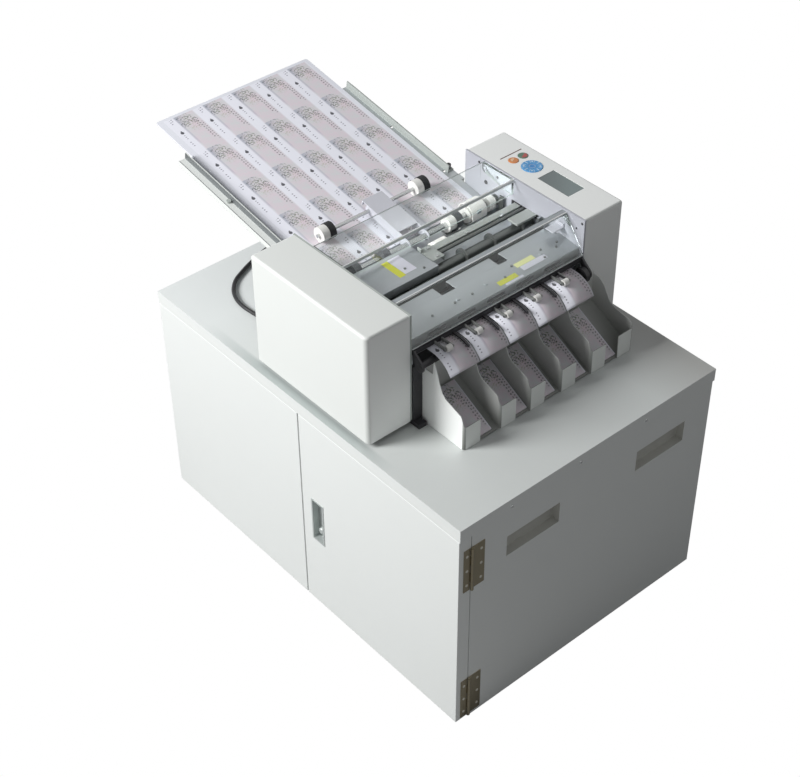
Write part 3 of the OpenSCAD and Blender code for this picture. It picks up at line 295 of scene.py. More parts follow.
def makePrintGroup():
    # generic business card print: Vector gives the place on one card in millimetres
    group, start, end = newGroup("card_print", "Vector", "Color")
    place = start["Vector"]
    across, along = addSplit(group, place)[:2]

    def band(value, low, high, soft=0.4):
        edges = []
        for edge, sign in ((low, 1), (high, -1)):
            node = group.nodes.new("ShaderNodeMapRange")
            spread = soft * sign
            plugAll(group, node, {"Value": value, "From Min": edge - spread, "From Max": edge + spread})
            edges.append(node.outputs["Result"])
        return both(*edges)

    def repeat(value, period):
        return addMath(group, "MODULO", addMath(group, "ADD", value, period * 100), period)

    def distance(x, y):
        dx = addMath(group, "SUBTRACT", across, x)
        dy = addMath(group, "SUBTRACT", along, y)
        return addMath(group, "SQRT", addMath(group, "ADD", both(dx, dx), both(dy, dy)))

    def both(first, second):
        return addMath(group, "MULTIPLY", first, second)

    def stamp(color, mask, strength, ink):
        return addMix(group, both(mask, strength), color, ink)

    def column(x, low, high, period, filled, soft, ends):
        # short strokes down a narrow column, one to each period
        half = cardPrint["halfColumn"]
        whole = both(band(across, x - half, x + half, soft), band(along, low, high, ends))
        return both(whole, band(repeat(along, period), 0.5, period * filled, soft))

    cloud = addNoise(group, place, 0.06, 3, 0.6)
    speck = addNoise(group, place, 0.32, 3, 0.75)
    curl = addMath(group, "SUBTRACT", addNoise(group, place, 0.13, 2, 0.6), 0.5)
    panel = both(band(across, 18, 54, 1.6), band(along, -4, 91, 1.0))
    blush = addMix(group, addRamp(group, cloud, 2.6, -0.8, True), srgb(228, 212, 221), srgb(217, 219, 221))
    color = stamp(srgb(245, 246, 255), panel, 0.92, blush)
    # blue-grey corner that fades down the left side of the panel
    slant = addRamp(group, across, 0.55, both(along, -0.35))
    color = stamp(color, both(panel, band(slant, -30, -14, 6.0)), 0.7, srgb(168, 176, 190))
    side = both(band(across, 17, 21, 1.0), band(along, 20, 90, 6.0))
    color = stamp(color, both(panel, side), 0.45, srgb(168, 176, 194))
    # speckled flourish of arcs at the head of the panel
    grain = band(speck, 0.49, 0.9, 0.03)
    for x, y, reach, step in cardPrint["arcs"]:
        far = addRamp(group, curl, 16.0, distance(x, y))
        ring = band(repeat(far, step), 0.0, step * 0.5, 0.4)
        color = stamp(color, both(both(ring, grain), band(far, -9, reach, 1.5)), 0.85, srgb(74, 86, 90))
    olive = both(band(across, 26, 46, 3.0), both(band(along, 46, 84, 5.0), band(speck, 0.56, 1, 0.04)))
    color = stamp(color, olive, 0.55, srgb(150, 160, 112))
    # three columns of small signs down the right side
    gaps = band(addNoise(group, place, 0.7, 2, 0.5), 0.44, 2, 0.05)
    for x, low, high, period, strength in cardPrint["signs"]:
        sign = both(column(x, low, high, period, 0.55, 0.25, 0.5), gaps)
        color = stamp(color, sign, strength, srgb(46, 44, 54))
    # marks and a dot on the pale strip
    for x, low, high, period in cardPrint["marks"]:
        color = stamp(color, column(x, low, high, period, 0.5, 0.3, 0.4), 0.72, srgb(80, 82, 96))
    for x, y, radius, soft, strength in cardPrint["dots"]:
        color = stamp(color, band(distance(x, y), -1, radius, soft), strength, srgb(40, 40, 50))
    plug(group, end.inputs["Color"], color)
    return group


def srgb(red, green, blue):
    def one(value):
        value /= 255
        return value / 12.92 if value <= 0.04045 else ((value + 0.055) / 1.055) ** 2.4

    return (one(red), one(green), one(blue))


skinGroup = makeSkinGroup()
brushedGroup = makeBrushedGroup()
printGroup = makePrintGroup()
print("node groups made")

# materials


def startMaterial(name):
    material = bpy.data.materials.new(name)
    material.use_nodes = True
    tree = material.node_tree
    shader = tree.nodes["Principled BSDF"]
    coords = tree.nodes.new("ShaderNodeTexCoord")
    return material, tree, shader, coords.outputs["Object"]


def coated(name, color, rough, grain, depth, drift, metal=0.0):
    material, tree, shader, place = startMaterial(name)
    skin = addGroup(tree, skinGroup, {"Vector": place, "Color": color, "Roughness": rough, "Grain": grain,
                                      "Depth": depth, "Drift": drift})
    plugAll(tree, shader, {"Base Color": skin["Color"], "Roughness": skin["Roughness"],
                           "Normal": skin["Normal"], "Metallic": metal})
    return material


def ground(name, color, rough, along, lines, depth, metal=1.0):
    material, tree, shader, place = startMaterial(name)
    squeeze = tree.nodes.new("ShaderNodeMapping")
    squeeze.inputs["Scale"].default_value = tuple(0.03 if axis == along else 1 for axis in "XYZ")
    plug(tree, squeeze.inputs["Vector"], place)
    bare = addGroup(tree, brushedGroup, {"Vector": squeeze.outputs["Vector"], "Color": color,
                                         "Roughness": rough, "Lines": lines, "Depth": depth})
    plugAll(tree, shader, {"Base Color": bare["Color"], "Roughness": bare["Roughness"],
                           "Normal": bare["Normal"], "Metallic": metal})
    return material


def clearSheet(name, color):
    material, tree, shader, place = startMaterial(name)
    haze = addNoise(tree, place, 60.0, 5, 0.6)
    # light passes on to what lies under the sheet
    rays = tree.nodes.new("ShaderNodeLightPath")
    plugAll(tree, shader, {
        "Base Color": color,
        "Roughness": addRamp(tree, haze, 0.05, 0.0),
        "Transmission Weight": 1.0,
        "IOR": 1.45,
        "Alpha": addRamp(tree, rays.outputs["Is Shadow Ray"], -0.9, 1.0),
    })
    return material


def sheetEdge(name, color):
    # the sawn edge of a clear sheet, pale, with a faint painted glow from its emission
    material, tree, shader, place = startMaterial(name)
    saw = addNoise(tree, place, 900.0, 3, 0.6)
    tone = addMix(tree, saw, tuple(c * 0.8 for c in color), color)
    plugAll(tree, shader, {"Base Color": tone, "Emission Color": tone, "Emission Strength": 0.04,
                           "Roughness": addRamp(tree, saw, 0.3, 0.2)})
    return material


sheetPrint = {
    "lane": 0.056,
    "cardLength": 0.090,
    "middle": 0.0035,
    "shift": 0.002,
    "front": (0.058, 0.5305),
    "firstCard": 0.033,
    "farMargin": 0.4145,
    "tilt": 9.7,
    "thick": 0.003,
    "corner": 0.0045,
}


def printedSheets(name):
    # the print follows the slope of the table: x across the lanes, y up the slope
    material, tree, shader, place = startMaterial(name)
    lane = sheetPrint["lane"]
    turn = tree.nodes.new("ShaderNodeMapping")
    turn.vector_type = "TEXTURE"
    low = -lane * 2.5 + sheetPrint["middle"] + sheetPrint["shift"]
    plugAll(tree, turn, {"Vector": place, "Location": (low, *sheetPrint["front"]),
                         "Rotation": (math.radians(sheetPrint["tilt"]), 0, 0)})
    x, y, z = addSplit(tree, turn.outputs["Vector"])
    join = tree.nodes.new("ShaderNodeCombineXYZ")
    for axis, value, start, period in (
        ("X", x, lane * 10, lane),
        ("Y", y, sheetPrint["firstCard"], sheetPrint["cardLength"]),
    ):
        value = addMath(tree, "MODULO", addMath(tree, "ADD", value, start), period)
        plug(tree, join.inputs[axis], addMath(tree, "MULTIPLY", value, 1000))
    art = addGroup(tree, printGroup, {"Vector": join.outputs["Vector"]})
    # only the top face is printed, with bare margins outside the five lanes and at the far edge
    inside = addMath(tree, "GREATER_THAN", x, 0.0)
    for test, value, limit in (
        ("LESS_THAN", x, lane * 5),
        ("LESS_THAN", y, sheetPrint["farMargin"]),
        ("GREATER_THAN", z, -0.0001),
    ):
        inside = addMath(tree, "MULTIPLY", inside, addMath(tree, test, value, limit))
    color = addMix(tree, inside, srgb(236, 238, 246), art["Color"])
    # cut edges of the stack
    leaves = addNoise(tree, z, 2500.0, 2, 0.5)
    edge = addMath(tree, "LESS_THAN", z, -0.0002)
    tone = addMix(tree, leaves, srgb(220, 220, 229), srgb(238, 238, 245))
    plugAll(tree, shader, {"Base Color": addMix(tree, edge, color, tone), "Roughness": 0.42})
    return material


def printedCards(name):
    material, tree, shader = startMaterial(name)[:3]
    uv = tree.nodes.new("ShaderNodeUVMap")
    uv.uv_map = "card"
    scale = tree.nodes.new("ShaderNodeVectorMath")
    scale.operation = "SCALE"
    plugAll(tree, scale, {"Vector": uv.outputs["UV"], "Scale": 1000})
    art = addGroup(tree, printGroup, {"Vector": scale.outputs["Vector"]})
    plugAll(tree, shader, {"Base Color": art["Color"], "Roughness": 0.4})
    return material


def shadedLane(name):
    # painted shade: the lanes of the tray are painted darker towards their floor, where the shade falls
    material, tree, shader, place = startMaterial(name)
    slow = addNoise(tree, place, 9.0, 4, 0.6)
    height = addRamp(tree, slow, 0.2, addRamp(tree, addSplit(tree, place)["Z"], 12.0, -5.0), True)
    color = addMix(tree, height, srgb(132, 134, 130), srgb(228, 230, 227))
    plugAll(tree, shader, {"Base Color": color, "Roughness": addRamp(tree, slow, 0.2, 0.3)})
    return material


def shadedTop(name):
    # painted shade on the flat top of the cabinet: darker beside the left housing and at its right end, and
    # painted lighter towards the rear
    material, tree, shader, place = startMaterial(name)
    x, y = addSplit(tree, place)[:2]
    slow = addNoise(tree, place, 7.0, 4, 0.6)
    left = addRamp(tree, x, -200.0, -46.8, True)
    beside = addRamp(tree, y, 12.0, 2.4, True)
    color = addMix(tree, slow, srgb(208, 212, 210), srgb(214, 218, 216))
    color = addMix(tree, addMath(tree, "MULTIPLY", left, beside), color, srgb(178, 186, 184))
    color = addMix(tree, addRamp(tree, y, 7.0, -0.6, True), color, srgb(228, 232, 231))
    color = addMix(tree, addRamp(tree, x, 10.0, -1.4, True), color, srgb(180, 181, 178))
    plugAll(tree, shader, {"Base Color": color, "Roughness": addRamp(tree, slow, 0.15, 0.35)})
    return material


def displayFilm(name):
    # unlit liquid crystal display with a painted reflection: lighter towards its front right, darker
    # towards its rear left corner
    material, tree, shader, place = startMaterial(name)
    x, y = addSplit(tree, place)[:2]
    soft = addNoise(tree, place, 26.0, 3, 0.5)
    slope = addRamp(tree, y, -11.0, addRamp(tree, x, 9.0, -1.9))
    tone = addRamp(tree, soft, 0.3, slope, True)
    color = addMix(tree, tone, srgb(72, 82, 83), srgb(112, 128, 128))
    rough = addRamp(tree, soft, 0.1, 0.12)
    plugAll(tree, shader, {"Base Color": color, "Roughness": rough, "Coat Weight": 0.6})
    return material


# colour, roughness, grain, depth, drift of tone and metal
coatedFinishes = {
    "cabinetWhite": (226, 229, 227, 0.42, 900, 0.12, 0.03),
    "doorWhite": (229, 232, 230, 0.42, 900, 0.12, 0.03),
    "housingWhite": (226, 229, 226, 0.5, 1600, 0.25, 0.03),
    "lilacSteel": (186, 188, 196, 0.4, 900, 0.08, 0.05),
    "paleSteel": (205, 206, 214, 0.35, 900, 0.08, 0.05),
    "barGrey": (176, 182, 178, 0.4, 900, 0.1, 0.1),
    "blackSteel": (44, 44, 47, 0.5, 1200, 0.2, 0.2),
    "whitePlastic": (236, 235, 231, 0.4, 700, 0.15, 0.06),
    "blackPlastic": (32, 32, 34, 0.45, 1300, 0.2, 0.2),
    "blackRubber": (30, 31, 33, 0.75, 1800, 0.5, 0.3),
    "greyRubber": (88, 90, 92, 0.7, 1800, 0.5, 0.3),
    "boardGreen": (38, 92, 62, 0.4, 500, 0.2, 0.3),
    "greenKey": (92, 122, 104, 0.35, 900, 0.1, 0.1),
    "orangeKey": (214, 138, 84, 0.35, 900, 0.1, 0.1),
    "blueKey": (86, 158, 214, 0.35, 900, 0.1, 0.1),
    "blueKeyMiddle": (66, 140, 205, 0.3, 900, 0.1, 0.1),
    "armGrey": (126, 128, 126, 0.45, 1200, 0.2, 0.1),
    "trayWhite": (224, 227, 224, 0.4, 900, 0.1, 0.03),
    "hingeScrew": (214, 212, 202, 0.3, 900, 0.1, 0.1, 0.3),
    "yellowLabel": (206, 208, 74, 0.4, 500, 0.05, 0.2),
    "paleYellowLabel": (222, 224, 160, 0.4, 500, 0.05, 0.2),
    "whiteLabel": (214, 214, 224, 0.4, 500, 0.05, 0.1),
    "keyMark": (206, 226, 240, 0.4, 900, 0.05, 0.05),
    "redMark": (176, 84, 80, 0.4, 900, 0.05, 0.1),
    "paleOrangeMark": (232, 196, 160, 0.4, 900, 0.05, 0.1),
    "slotBrown": (104, 74, 66, 0.6, 900, 0.2, 0.1),
    # the three bend colours below are painted shade and a painted highlight for the bends of the clear
    # covers; the grey one also colours a seam and a small window
    "bendGrey": (158, 164, 168, 0.25, 400, 0.02, 0.05),
    "bendWhite": (238, 241, 240, 0.25, 400, 0.02, 0.02),
    "bendPale": (226, 231, 232, 0.25, 400, 0.02, 0.05),
    # a brighter copy of the white, painted light on faces that the lamp leaves too dark
    "brightWhite": (248, 250, 248, 0.5, 1600, 0.25, 0.03),
    "gripShade": (196, 196, 190, 0.42, 900, 0.12, 0.1),
    "leadBlack": (36, 36, 38, 0.42, 900, 0.15, 0.1),
}
# colour, roughness, direction, fineness and depth of the lines, and metal
groundFinishes = {
    "bronzedHinge": (150, 142, 122, 0.38, "Z", 700, 0.3),
    "satinNickel": (192, 198, 196, 0.38, "Z", 900, 0.2, 0.35),
    "groundShaft": (196, 198, 198, 0.2, "X", 1200, 0.2),
    "greySheet": (176, 181, 184, 0.42, "X", 700, 0.2, 0.75),
    "tableSheet": (186, 191, 193, 0.4, "Y", 700, 0.2, 0.7),
    "railShade": (128, 132, 134, 0.4, "Y", 700, 0.2, 0.6),
    "bladeSteel": (118, 122, 121, 0.5, "X", 900, 0.3, 0.5),
    "darkShaft": (120, 124, 122, 0.42, "X", 900, 0.25, 0.7),
    "brightScrew": (214, 216, 216, 0.25, "X", 900, 0.15),
    "bushSteel": (150, 152, 150, 0.4, "X", 800, 0.3),
    "pinionBrass": (206, 180, 108, 0.3, "X", 800, 0.3),
}
finishes = {
    "displayGrey": displayFilm("display_grey"),
    "trayPaintedShade": shadedLane("tray_painted_shade"),
    "topPaintedShade": shadedTop("top_painted_shade"),
    "clearAcrylic": clearSheet("clear_acrylic", srgb(250, 253, 252)),
    "acrylicEdge": sheetEdge("acrylic_edge", srgb(176, 186, 184)),
    "printedSheet": printedSheets("printed_sheet"),
    "printedCard": printedCards("printed_card"),
}
for make, table in ((coated, coatedFinishes), (ground, groundFinishes)):
    for name, (red, green, blue, *surface) in table.items():
        plain = "".join("_" + letter.lower() if letter.isupper() else letter for letter in name)
        finishes[name] = make(plain, srgb(red, green, blue), *surface)
print("materials made:", len(finishes))

nodeFinish = {
    "cabinetWhite": "cabinet_body cabinet_top",
    "doorWhite": "near_door far_door",
    "housingWhite": "left_housing right_housing",
    "lilacSteel": "right_side_plate",
    "paleSteel": "pickup_arm",
    "barGrey": "left_side_plate slitter_frame left_rail_screws right_guide_rail",
    "blackSteel": "base_pan pinch_frame drive_motor",
    "whitePlastic": "pickup_hubs feed_hubs pinch_rollers",
    "blackPlastic": "right_rail_screws exit_rollers strain_relief power_plug",
    "blackRubber": "rubber_feet pickup_tyres",
    "greyRubber": "feed_tyres",
    "boardGreen": "control_board",
    "greenKey": "start_button",
    "orangeKey": "stop_button",
    "blueKey": "arrow_pad",
    "blueKeyMiddle": "ok_button",
    "displayGrey": "display_window",
    "bronzedHinge": "hinge_frame_leaves near_hinge_leaves far_hinge_leaves hinge_pins",
    "satinNickel": "door_handle handle_latch",
    "groundShaft": "pickup_shaft feed_shaft lower_feed_shaft",
    "darkShaft": "tie_rods upper_slitter lower_slitter",
    "greySheet": "paper_deck feed_cover_plate cut_bed hold_plates front_plate",
    "tableSheet": "feed_table left_guide_rail",
    "trayWhite": "output_tray",
    "bladeSteel": "cut_blade",
    "bushSteel": "shaft_bushes",
    "pinionBrass": "motor_pinion",
    "leadBlack": "power_cord cord_coil",
    "clearAcrylic": "rear_cover front_cover",
    "printedSheet": "sheet_stack",
    "printedCard": "cut_cards",
}
for finish, names in nodeFinish.items():
    for name in names.split():
        mesh = nodes[name].data
        mesh.materials.clear()
        mesh.materials.append(finishes[finish])
print("CAD nodes finished")

# mains lead

lead = {
    "radius": 0.0031,
    "route": [  # from the strain relief to the coil
        (-0.175, 0.1375, 0.43), (-0.175, 0.145, 0.4296), (-0.175, 0.157, 0.425), (-0.1755, 0.169, 0.416),
        (-0.176, 0.181, 0.4085), (-0.177, 0.193, 0.4048), (-0.178, 0.207, 0.4041), (-0.179, 0.223, 0.4041),
        (-0.177, 0.241, 0.4041), (-0.171, 0.258, 0.4041), (-0.161, 0.273, 0.4041), (-0.147, 0.286, 0.4041),
        (-0.13, 0.295, 0.4041), (-0.112, 0.303, 0.4041), (-0.093, 0.31, 0.4041), (-0.072, 0.317, 0.4041),
        (-0.05, 0.322, 0.4041), (-0.028, 0.325, 0.4041), (-0.006, 0.3268, 0.4041), (0.014, 0.3272, 0.4041),
        (0.03, 0.3272, 0.4041),
    ],
    "coilMiddle": (0.03, 0.28),
    "coilInside": 0.025,
    "pitch": 0.0074,
    "turns": 3,
    "ringsPerTurn": 24,
    "tail": 0.0372,
}


def leadPath():
    points = [Vector(p) for p in lead["route"]]
    path = []
    for i in range(len(points) - 1):
        before, here = points[max(i - 1, 0)], points[i]
        after, beyond = points[i + 1], points[min(i + 2, len(points) - 1)]
        for step in range(3):
            t = step / 3
            path.append(0.5 * (2 * here + (after - before) * t
                               + (2 * before - 5 * here + 4 * after - beyond) * t ** 2
                               + (3 * here - before - 3 * after + beyond) * t ** 3))
    rings, turns, pitch = lead["ringsPerTurn"], lead["turns"], lead["pitch"]
    x, y = lead["coilMiddle"]
    floor = points[-1].z
    for k in range(2 * turns * rings + 1):
        t = k / rings
        angle = math.radians(90 - 360 * t)
        radius = lead["coilInside"] + pitch * abs(turns - t)
        climb = min(1, max(0, (t - turns + 0.25) * 2))
        out = Vector((math.cos(angle), math.sin(angle), 0)) * radius
        path.append(Vector((x, y, floor + climb * pitch)) + out)
    for _ in range(2):
        path.append(path[-1] + Vector((lead["tail"] / 2, 0, 0)))
    return path


def makeLead():
    path = leadPath()
    curve = bpy.data.curves.new("mains_lead", "CURVE")
    curve.dimensions = "3D"
    curve.bevel_depth = lead["radius"]
    curve.bevel_resolution = 3
    curve.use_fill_caps = True
    line = curve.splines.new("POLY")
    line.points.add(len(path) - 1)
    for point, place in zip(line.points, path):
        point.co = (*place, 1)
    line.use_smooth = True
    curve.materials.append(finishes["leadBlack"])
    obj = bpy.data.objects.new("mains_lead", curve)
    bpy.context.scene.collection.objects.link(obj)
    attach(obj, "machine")
    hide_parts("power_cord", "cord_coil")


makeLead()

# cut cards

cards = {
    "width": 0.054,
    "length": 0.090,
    "thick": 0.0006,
    "lane": 0.056,
    "laneMiddles": (-0.1150, -0.0473, 0.0097, 0.0715, 0.1325),
    "middle": 0.0035,
    "exitY": -0.160,
    "pathZ": 0.5255,
    "dropRadius": 0.042,
    "dropAngle": 62.0,
    "dropRows": 12,
    "printStart": (0.001, 0.006),
    "pile": 0.004,
    "pileLeaves": 5,
    "pileFan": 0.0004,
    "pileGap": 0.002,
    "pileFoot": (-0.2328, 0.40284),
    "pileSlope": 27.37,
}


def makeFallingCards():
    # each card is a flat strip whose front end is turned down round the exit
    bm = bmesh.new()
    uvLayer = bm.loops.layers.uv.new("card")
    half, length = cards["width"] / 2, cards["length"]
    radius, steps = cards["dropRadius"], cards["dropRows"]
    bent = radius * math.radians(cards["dropAngle"])
    rows = [0] + [length - bent + bent * k / steps for k in range(steps + 1)]
    left, lower = cards["printStart"]
    for lane in range(-2, 3):
        centre = cards["middle"] + lane * cards["lane"]
        grid = []
        for run in rows:
            over = run - (length - bent)
            angle = max(0, over) / radius
            y = cards["exitY"] - min(0, over) - radius * math.sin(angle)
            z = cards["pathZ"] + cards["thick"] / 2 - radius * (1 - math.cos(angle))
            grid.append([(bm.verts.new((centre + side * half, y, z)), (half + side * half, run))
                         for side in (-1, 1)])
        for near, far in zip(grid, grid[1:]):
            corners = [near[0], far[0], far[1], near[1]]
            face = bm.faces.new([c[0] for c in corners])
            for loop, corner in zip(face.loops, corners):
                loop[uvLayer].uv = (corner[1][0] + left, length - corner[1][1] + lower)
    bmesh.ops.recalc_face_normals(bm, faces=bm.faces)
    obj = newPiece("falling_cards", bm, "machine", finishes["printedCard"], smooth=True)
    thick = obj.modifiers.new("thick", "SOLIDIFY")
    thick.thickness = cards["thick"]
    thick.offset = 0
    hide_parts("cut_cards")


def makeCardPiles():
    # cards that have dropped into the lanes, fanned a little so that their edges show
    bm = bmesh.new()
    uvLayer = bm.loops.layers.uv.new("card")
    step = cards["pile"] / cards["pileLeaves"]
    width, length, gap = cards["width"], cards["length"], cards["pileGap"]
    for lane in range(-2, 3):
        centre = cards["laneMiddles"][lane + 2]
        for leaf in range(cards["pileLeaves"]):
            made = bmesh.ops.create_cube(bm, size=1)["verts"]
            bmesh.ops.scale(bm, vec=(width, length - gap, step - 0.0001), verts=made)
            shift = (((lane * 7 + leaf * 5) % 5) - 2) * cards["pileFan"]
            for face in {f for v in made for f in v.link_faces}:
                for loop in face.loops:
                    co = loop.vert.co
                    loop[uvLayer].uv = (co.x + width / 2 + cards["printStart"][0], co.y + length / 2)
            place = (centre + shift, length / 2 + gap, (leaf + 0.5) * step)
            bmesh.ops.translate(bm, verts=made, vec=place)
    spin(bm, bm.verts, math.radians(cards["pileSlope"]), "X")
    bmesh.ops.translate(bm, verts=bm.verts, vec=(0, *cards["pileFoot"]))
    obj = newPiece("card_piles", bm, "machine", finishes["printedCard"])
    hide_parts("cut_cards")


makeFallingCards()
makeCardPiles()
print("cards made")

# clear covers, with their sawn edges

covers = {
    "thick": 0.003,
    "edgeBreak": 0.0004,
    "rearBand": (1.4, 5.4),  # millimetres under the top, as the front one's are behind the bend
    "frontBendY": -110.0,
    "frontBand": (0.8, 7.5),
}


def makeCover(node):
    bm = copyOf(node)
    breakEdges(bm, covers["edgeBreak"], 60, 1)
    obj = newPiece(node + "_sheet", bm, bodyOf(node), finishes["clearAcrylic"])
    obj.data.materials.append(finishes["acrylicEdge"])
    for face in obj.data.polygons:
        corners = [obj.data.vertices[i].co for i in face.vertices]
        longest = max((b - a).length for a, b in zip(corners, corners[1:] + corners[:1]))
        if face.area / longest < covers["thick"] * 1.1:
            face.material_index = 1
    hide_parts(node)


def addBlock(bm, low, high):
    made = bmesh.ops.create_cube(bm, size=1)["verts"]
    size = [h - l for l, h in zip(low, high)]
    bmesh.ops.scale(bm, vec=size, verts=made)
    bmesh.ops.translate(bm, vec=[(h + l) / 2 for l, h in zip(low, high)], verts=made)
    return made


def millimetres(*values):
    return tuple(v / 1000 for v in values)


def makeBlocks(name, blocks, body, finish, edge=0.0002):
    # blocks are pairs of opposite corners in millimetres
    bm = bmesh.new()
    for low, high in blocks:
        addBlock(bm, millimetres(*low), millimetres(*high))
    if edge:
        breakEdges(bm, edge, 40, 2)
    obj = newPiece(name, bm, body, finishes[finish])
    smoothByAngle(obj)


def makeBends():
    # painted shade and painted highlight: a grey band of painted shade along each bend, and a thin painted
    # highlight line where the sheet turns
    low, high = (tuple(c * 1000 for c in corner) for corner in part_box("rear_cover"))
    x0, x1, front, top = low[0], high[0], low[1], high[2]
    near, far = covers["rearBand"]
    rearBend = ((x0, front - 0.3, top - far), (x1, front - 0.1, top - near))
    rearLine = ((x0, front - 0.4, top - near), (x1, front + 1.0, top + 0.1))
    low, high = (tuple(c * 1000 for c in corner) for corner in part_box("front_cover"))
    x0, x1, front, foot, top = low[0], high[0], low[1], low[2], high[2]
    bend, (near, far) = covers["frontBendY"], covers["frontBand"]
    frontBend = ((x0, bend + near, top + 0.1), (x1, bend + far, top + 0.3))
    frontLines = (
        ((x0, bend - 0.6, top - 1.0), (x1, bend + 0.9, top + 0.3)),
        ((x0, front - 0.3, foot - 0.1), (x1, front + 0.9, foot + 1.0)),
    )
    for cover, name, blocks, finish in (
        ("rear_cover", "bend", [rearBend], "bendPale"),
        ("rear_cover", "highlight_line", [rearLine], "bendWhite"),
        ("front_cover", "bend", [frontBend], "bendGrey"),
        ("front_cover", "highlight_lines", frontLines, "bendWhite"),
    ):
        makeBlocks(cover + "_" + name, blocks, bodyOf(cover), finish, 0)


makeCover("rear_cover")
makeCover("front_cover")
makeBends()
print("covers made")

# sheets with round corners


def makeSheets():
    bm = copyOf("sheet_stack")
    corners = [e for e in bm.edges if e.calc_length() < sheetPrint["thick"] * 1.1]
    bmesh.ops.bevel(bm, geom=corners, offset=sheetPrint["corner"], offset_type="OFFSET", affect="EDGES",
                    segments=5, profile=0.5, material=-1)
    obj = newPiece("sheets", bm, bodyOf("sheet_stack"), finishes["printedSheet"])
    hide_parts("sheet_stack")


makeSheets()
print("sheets made")

# folded and moulded shells with their edges broken

housing = {"edgeRound": 0.0045, "cornerRound": 0.008}


def widenCorner(bm):
    # the upright corner at the left front is rounder than the edges of the top
    low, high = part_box("left_housing")
    edge, extra = housing["edgeRound"], housing["cornerRound"] - housing["edgeRound"]
    x, y = low.x + edge, low.y + edge
    for vert in bm.verts:
        out = Vector((vert.co.x - x, vert.co.y - y))
        if max(out) > 0.00001:
            continue
        rise = max(0, vert.co.z - (high.z - edge))
        reach = math.sqrt(max(0, edge ** 2 - rise ** 2))
        if abs(out.length - reach) > 0.0003:
            continue
        way = out.normalized() if out.length > 0.00001 else Vector((-1, -1)).normalized()
        vert.co.x = x + extra + way.x * (out.length + extra)
        vert.co.y = y + extra + way.y * (out.length + extra)


edgeBreaks = {
    0.0012: "cabinet_top near_door far_door",
    0.0006: "cabinet_body",
    0.0004: "output_tray front_plate hold_plates feed_cover_plate feed_table left_guide_rail "
            "right_guide_rail pickup_arm left_housing right_housing",
    0.0002: "pinch_frame",
}
dressed = {}
for width, names in edgeBreaks.items():
    for node in names.split():
        dressed[node] = dressNode(node, width, widenCorner if node == "left_housing" else None)

faceLimits = {
    "pinchShift": 0.007,
    "pinchHalfWidth": 0.0085,
    "pinchRear": -0.1492,
    "pinchLow": 0.529,
    "traySideX": -0.1434,
    "trayFrontY": -0.2347,
    "trayLow": 0.401,
    "gripNear": 0.0008,
    "gripFar": 0.02,
    "gripLow": 0.26,
}


def isPinchArm(centre, normal):
    half = cards["lane"] / 2
    across = (centre.x - cards["middle"] + faceLimits["pinchShift"] + half) % cards["lane"] - half
    isArm = abs(across) < faceLimits["pinchHalfWidth"]
    return isArm and centre.y < faceLimits["pinchRear"] and centre.z > faceLimits["pinchLow"]


def isTraySide(centre, normal):
    return normal.x < -0.9 and centre.x < faceLimits["traySideX"]


def isTrayInside(centre, normal):
    isInner = centre.y > faceLimits["trayFrontY"] and centre.z > faceLimits["trayLow"]
    return isInner and not isTraySide(centre, normal)


def isGripInside(centre, normal):
    depth = centre.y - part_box("cabinet_body")[0].y
    isDeep = faceLimits["gripNear"] < depth < faceLimits["gripFar"]
    return isDeep and centre.z > faceLimits["gripLow"] and normal.y < 0.5


def isFlatTop(centre, normal):
    return normal.z > 0.9 and centre.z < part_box("cabinet_top")[1].z + 0.001


# painted light: the feed table's left faces take the housing white
finishFaces(dressed["feed_table"], "housingWhite", lambda centre, normal: normal.x < -0.7)
# painted shade on the rail's left upright face, which faces the lamp, and painted light on its upward
# faces, which take the housing white
finishFaces(dressed["left_guide_rail"], "railShade", lambda centre, normal: normal.x < -0.7)
finishFaces(dressed["left_guide_rail"], "housingWhite", lambda centre, normal: normal.z > 0.7)
# painted shade and painted light on the flat top of the cabinet
finishFaces(dressed["cabinet_top"], "topPaintedShade", isFlatTop)
finishFaces(dressed["cabinet_body"], "gripShade", isGripInside)
# painted light: a brighter copy of the white on the front faces of both housings, the top of the right
# housing and the outer side of the tray
finishFaces(dressed["left_housing"], "brightWhite", lambda centre, normal: normal.y < -0.9)
finishFaces(dressed["right_housing"], "brightWhite",
            lambda centre, normal: normal.z > 0.9 or normal.y < -0.9)
finishFaces(dressed["output_tray"], "brightWhite", isTraySide)
finishFaces(dressed["pinch_frame"], "armGrey", isPinchArm)
# painted shade on the inner faces of the tray's lanes
finishFaces(dressed["output_tray"], "trayPaintedShade", isTrayInside)
print("shells dressed")

# control panel

panel = {
    "top": 595.5,
    "ring": (210.5, 5.2),
    "marks": 12,
    "markReach": (9.6, 15.6),
    "markThick": 0.12,
    "headSize": 2.2,
    "headReach": 12.6,
    "middle": 5.0,
    "middleLine": 0.6,
    "markLift": 0.0001,
    "start": (221.0, 35.5),
    "startMark": (6.6, 205),
    "stop": (201.0, 35.5),
    "stopMark": (4.5, 25),
    "slot": ((188.0, 49.6), (232.0, 51.2)),
}


def keyTop(node):
    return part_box(node)[1][2]


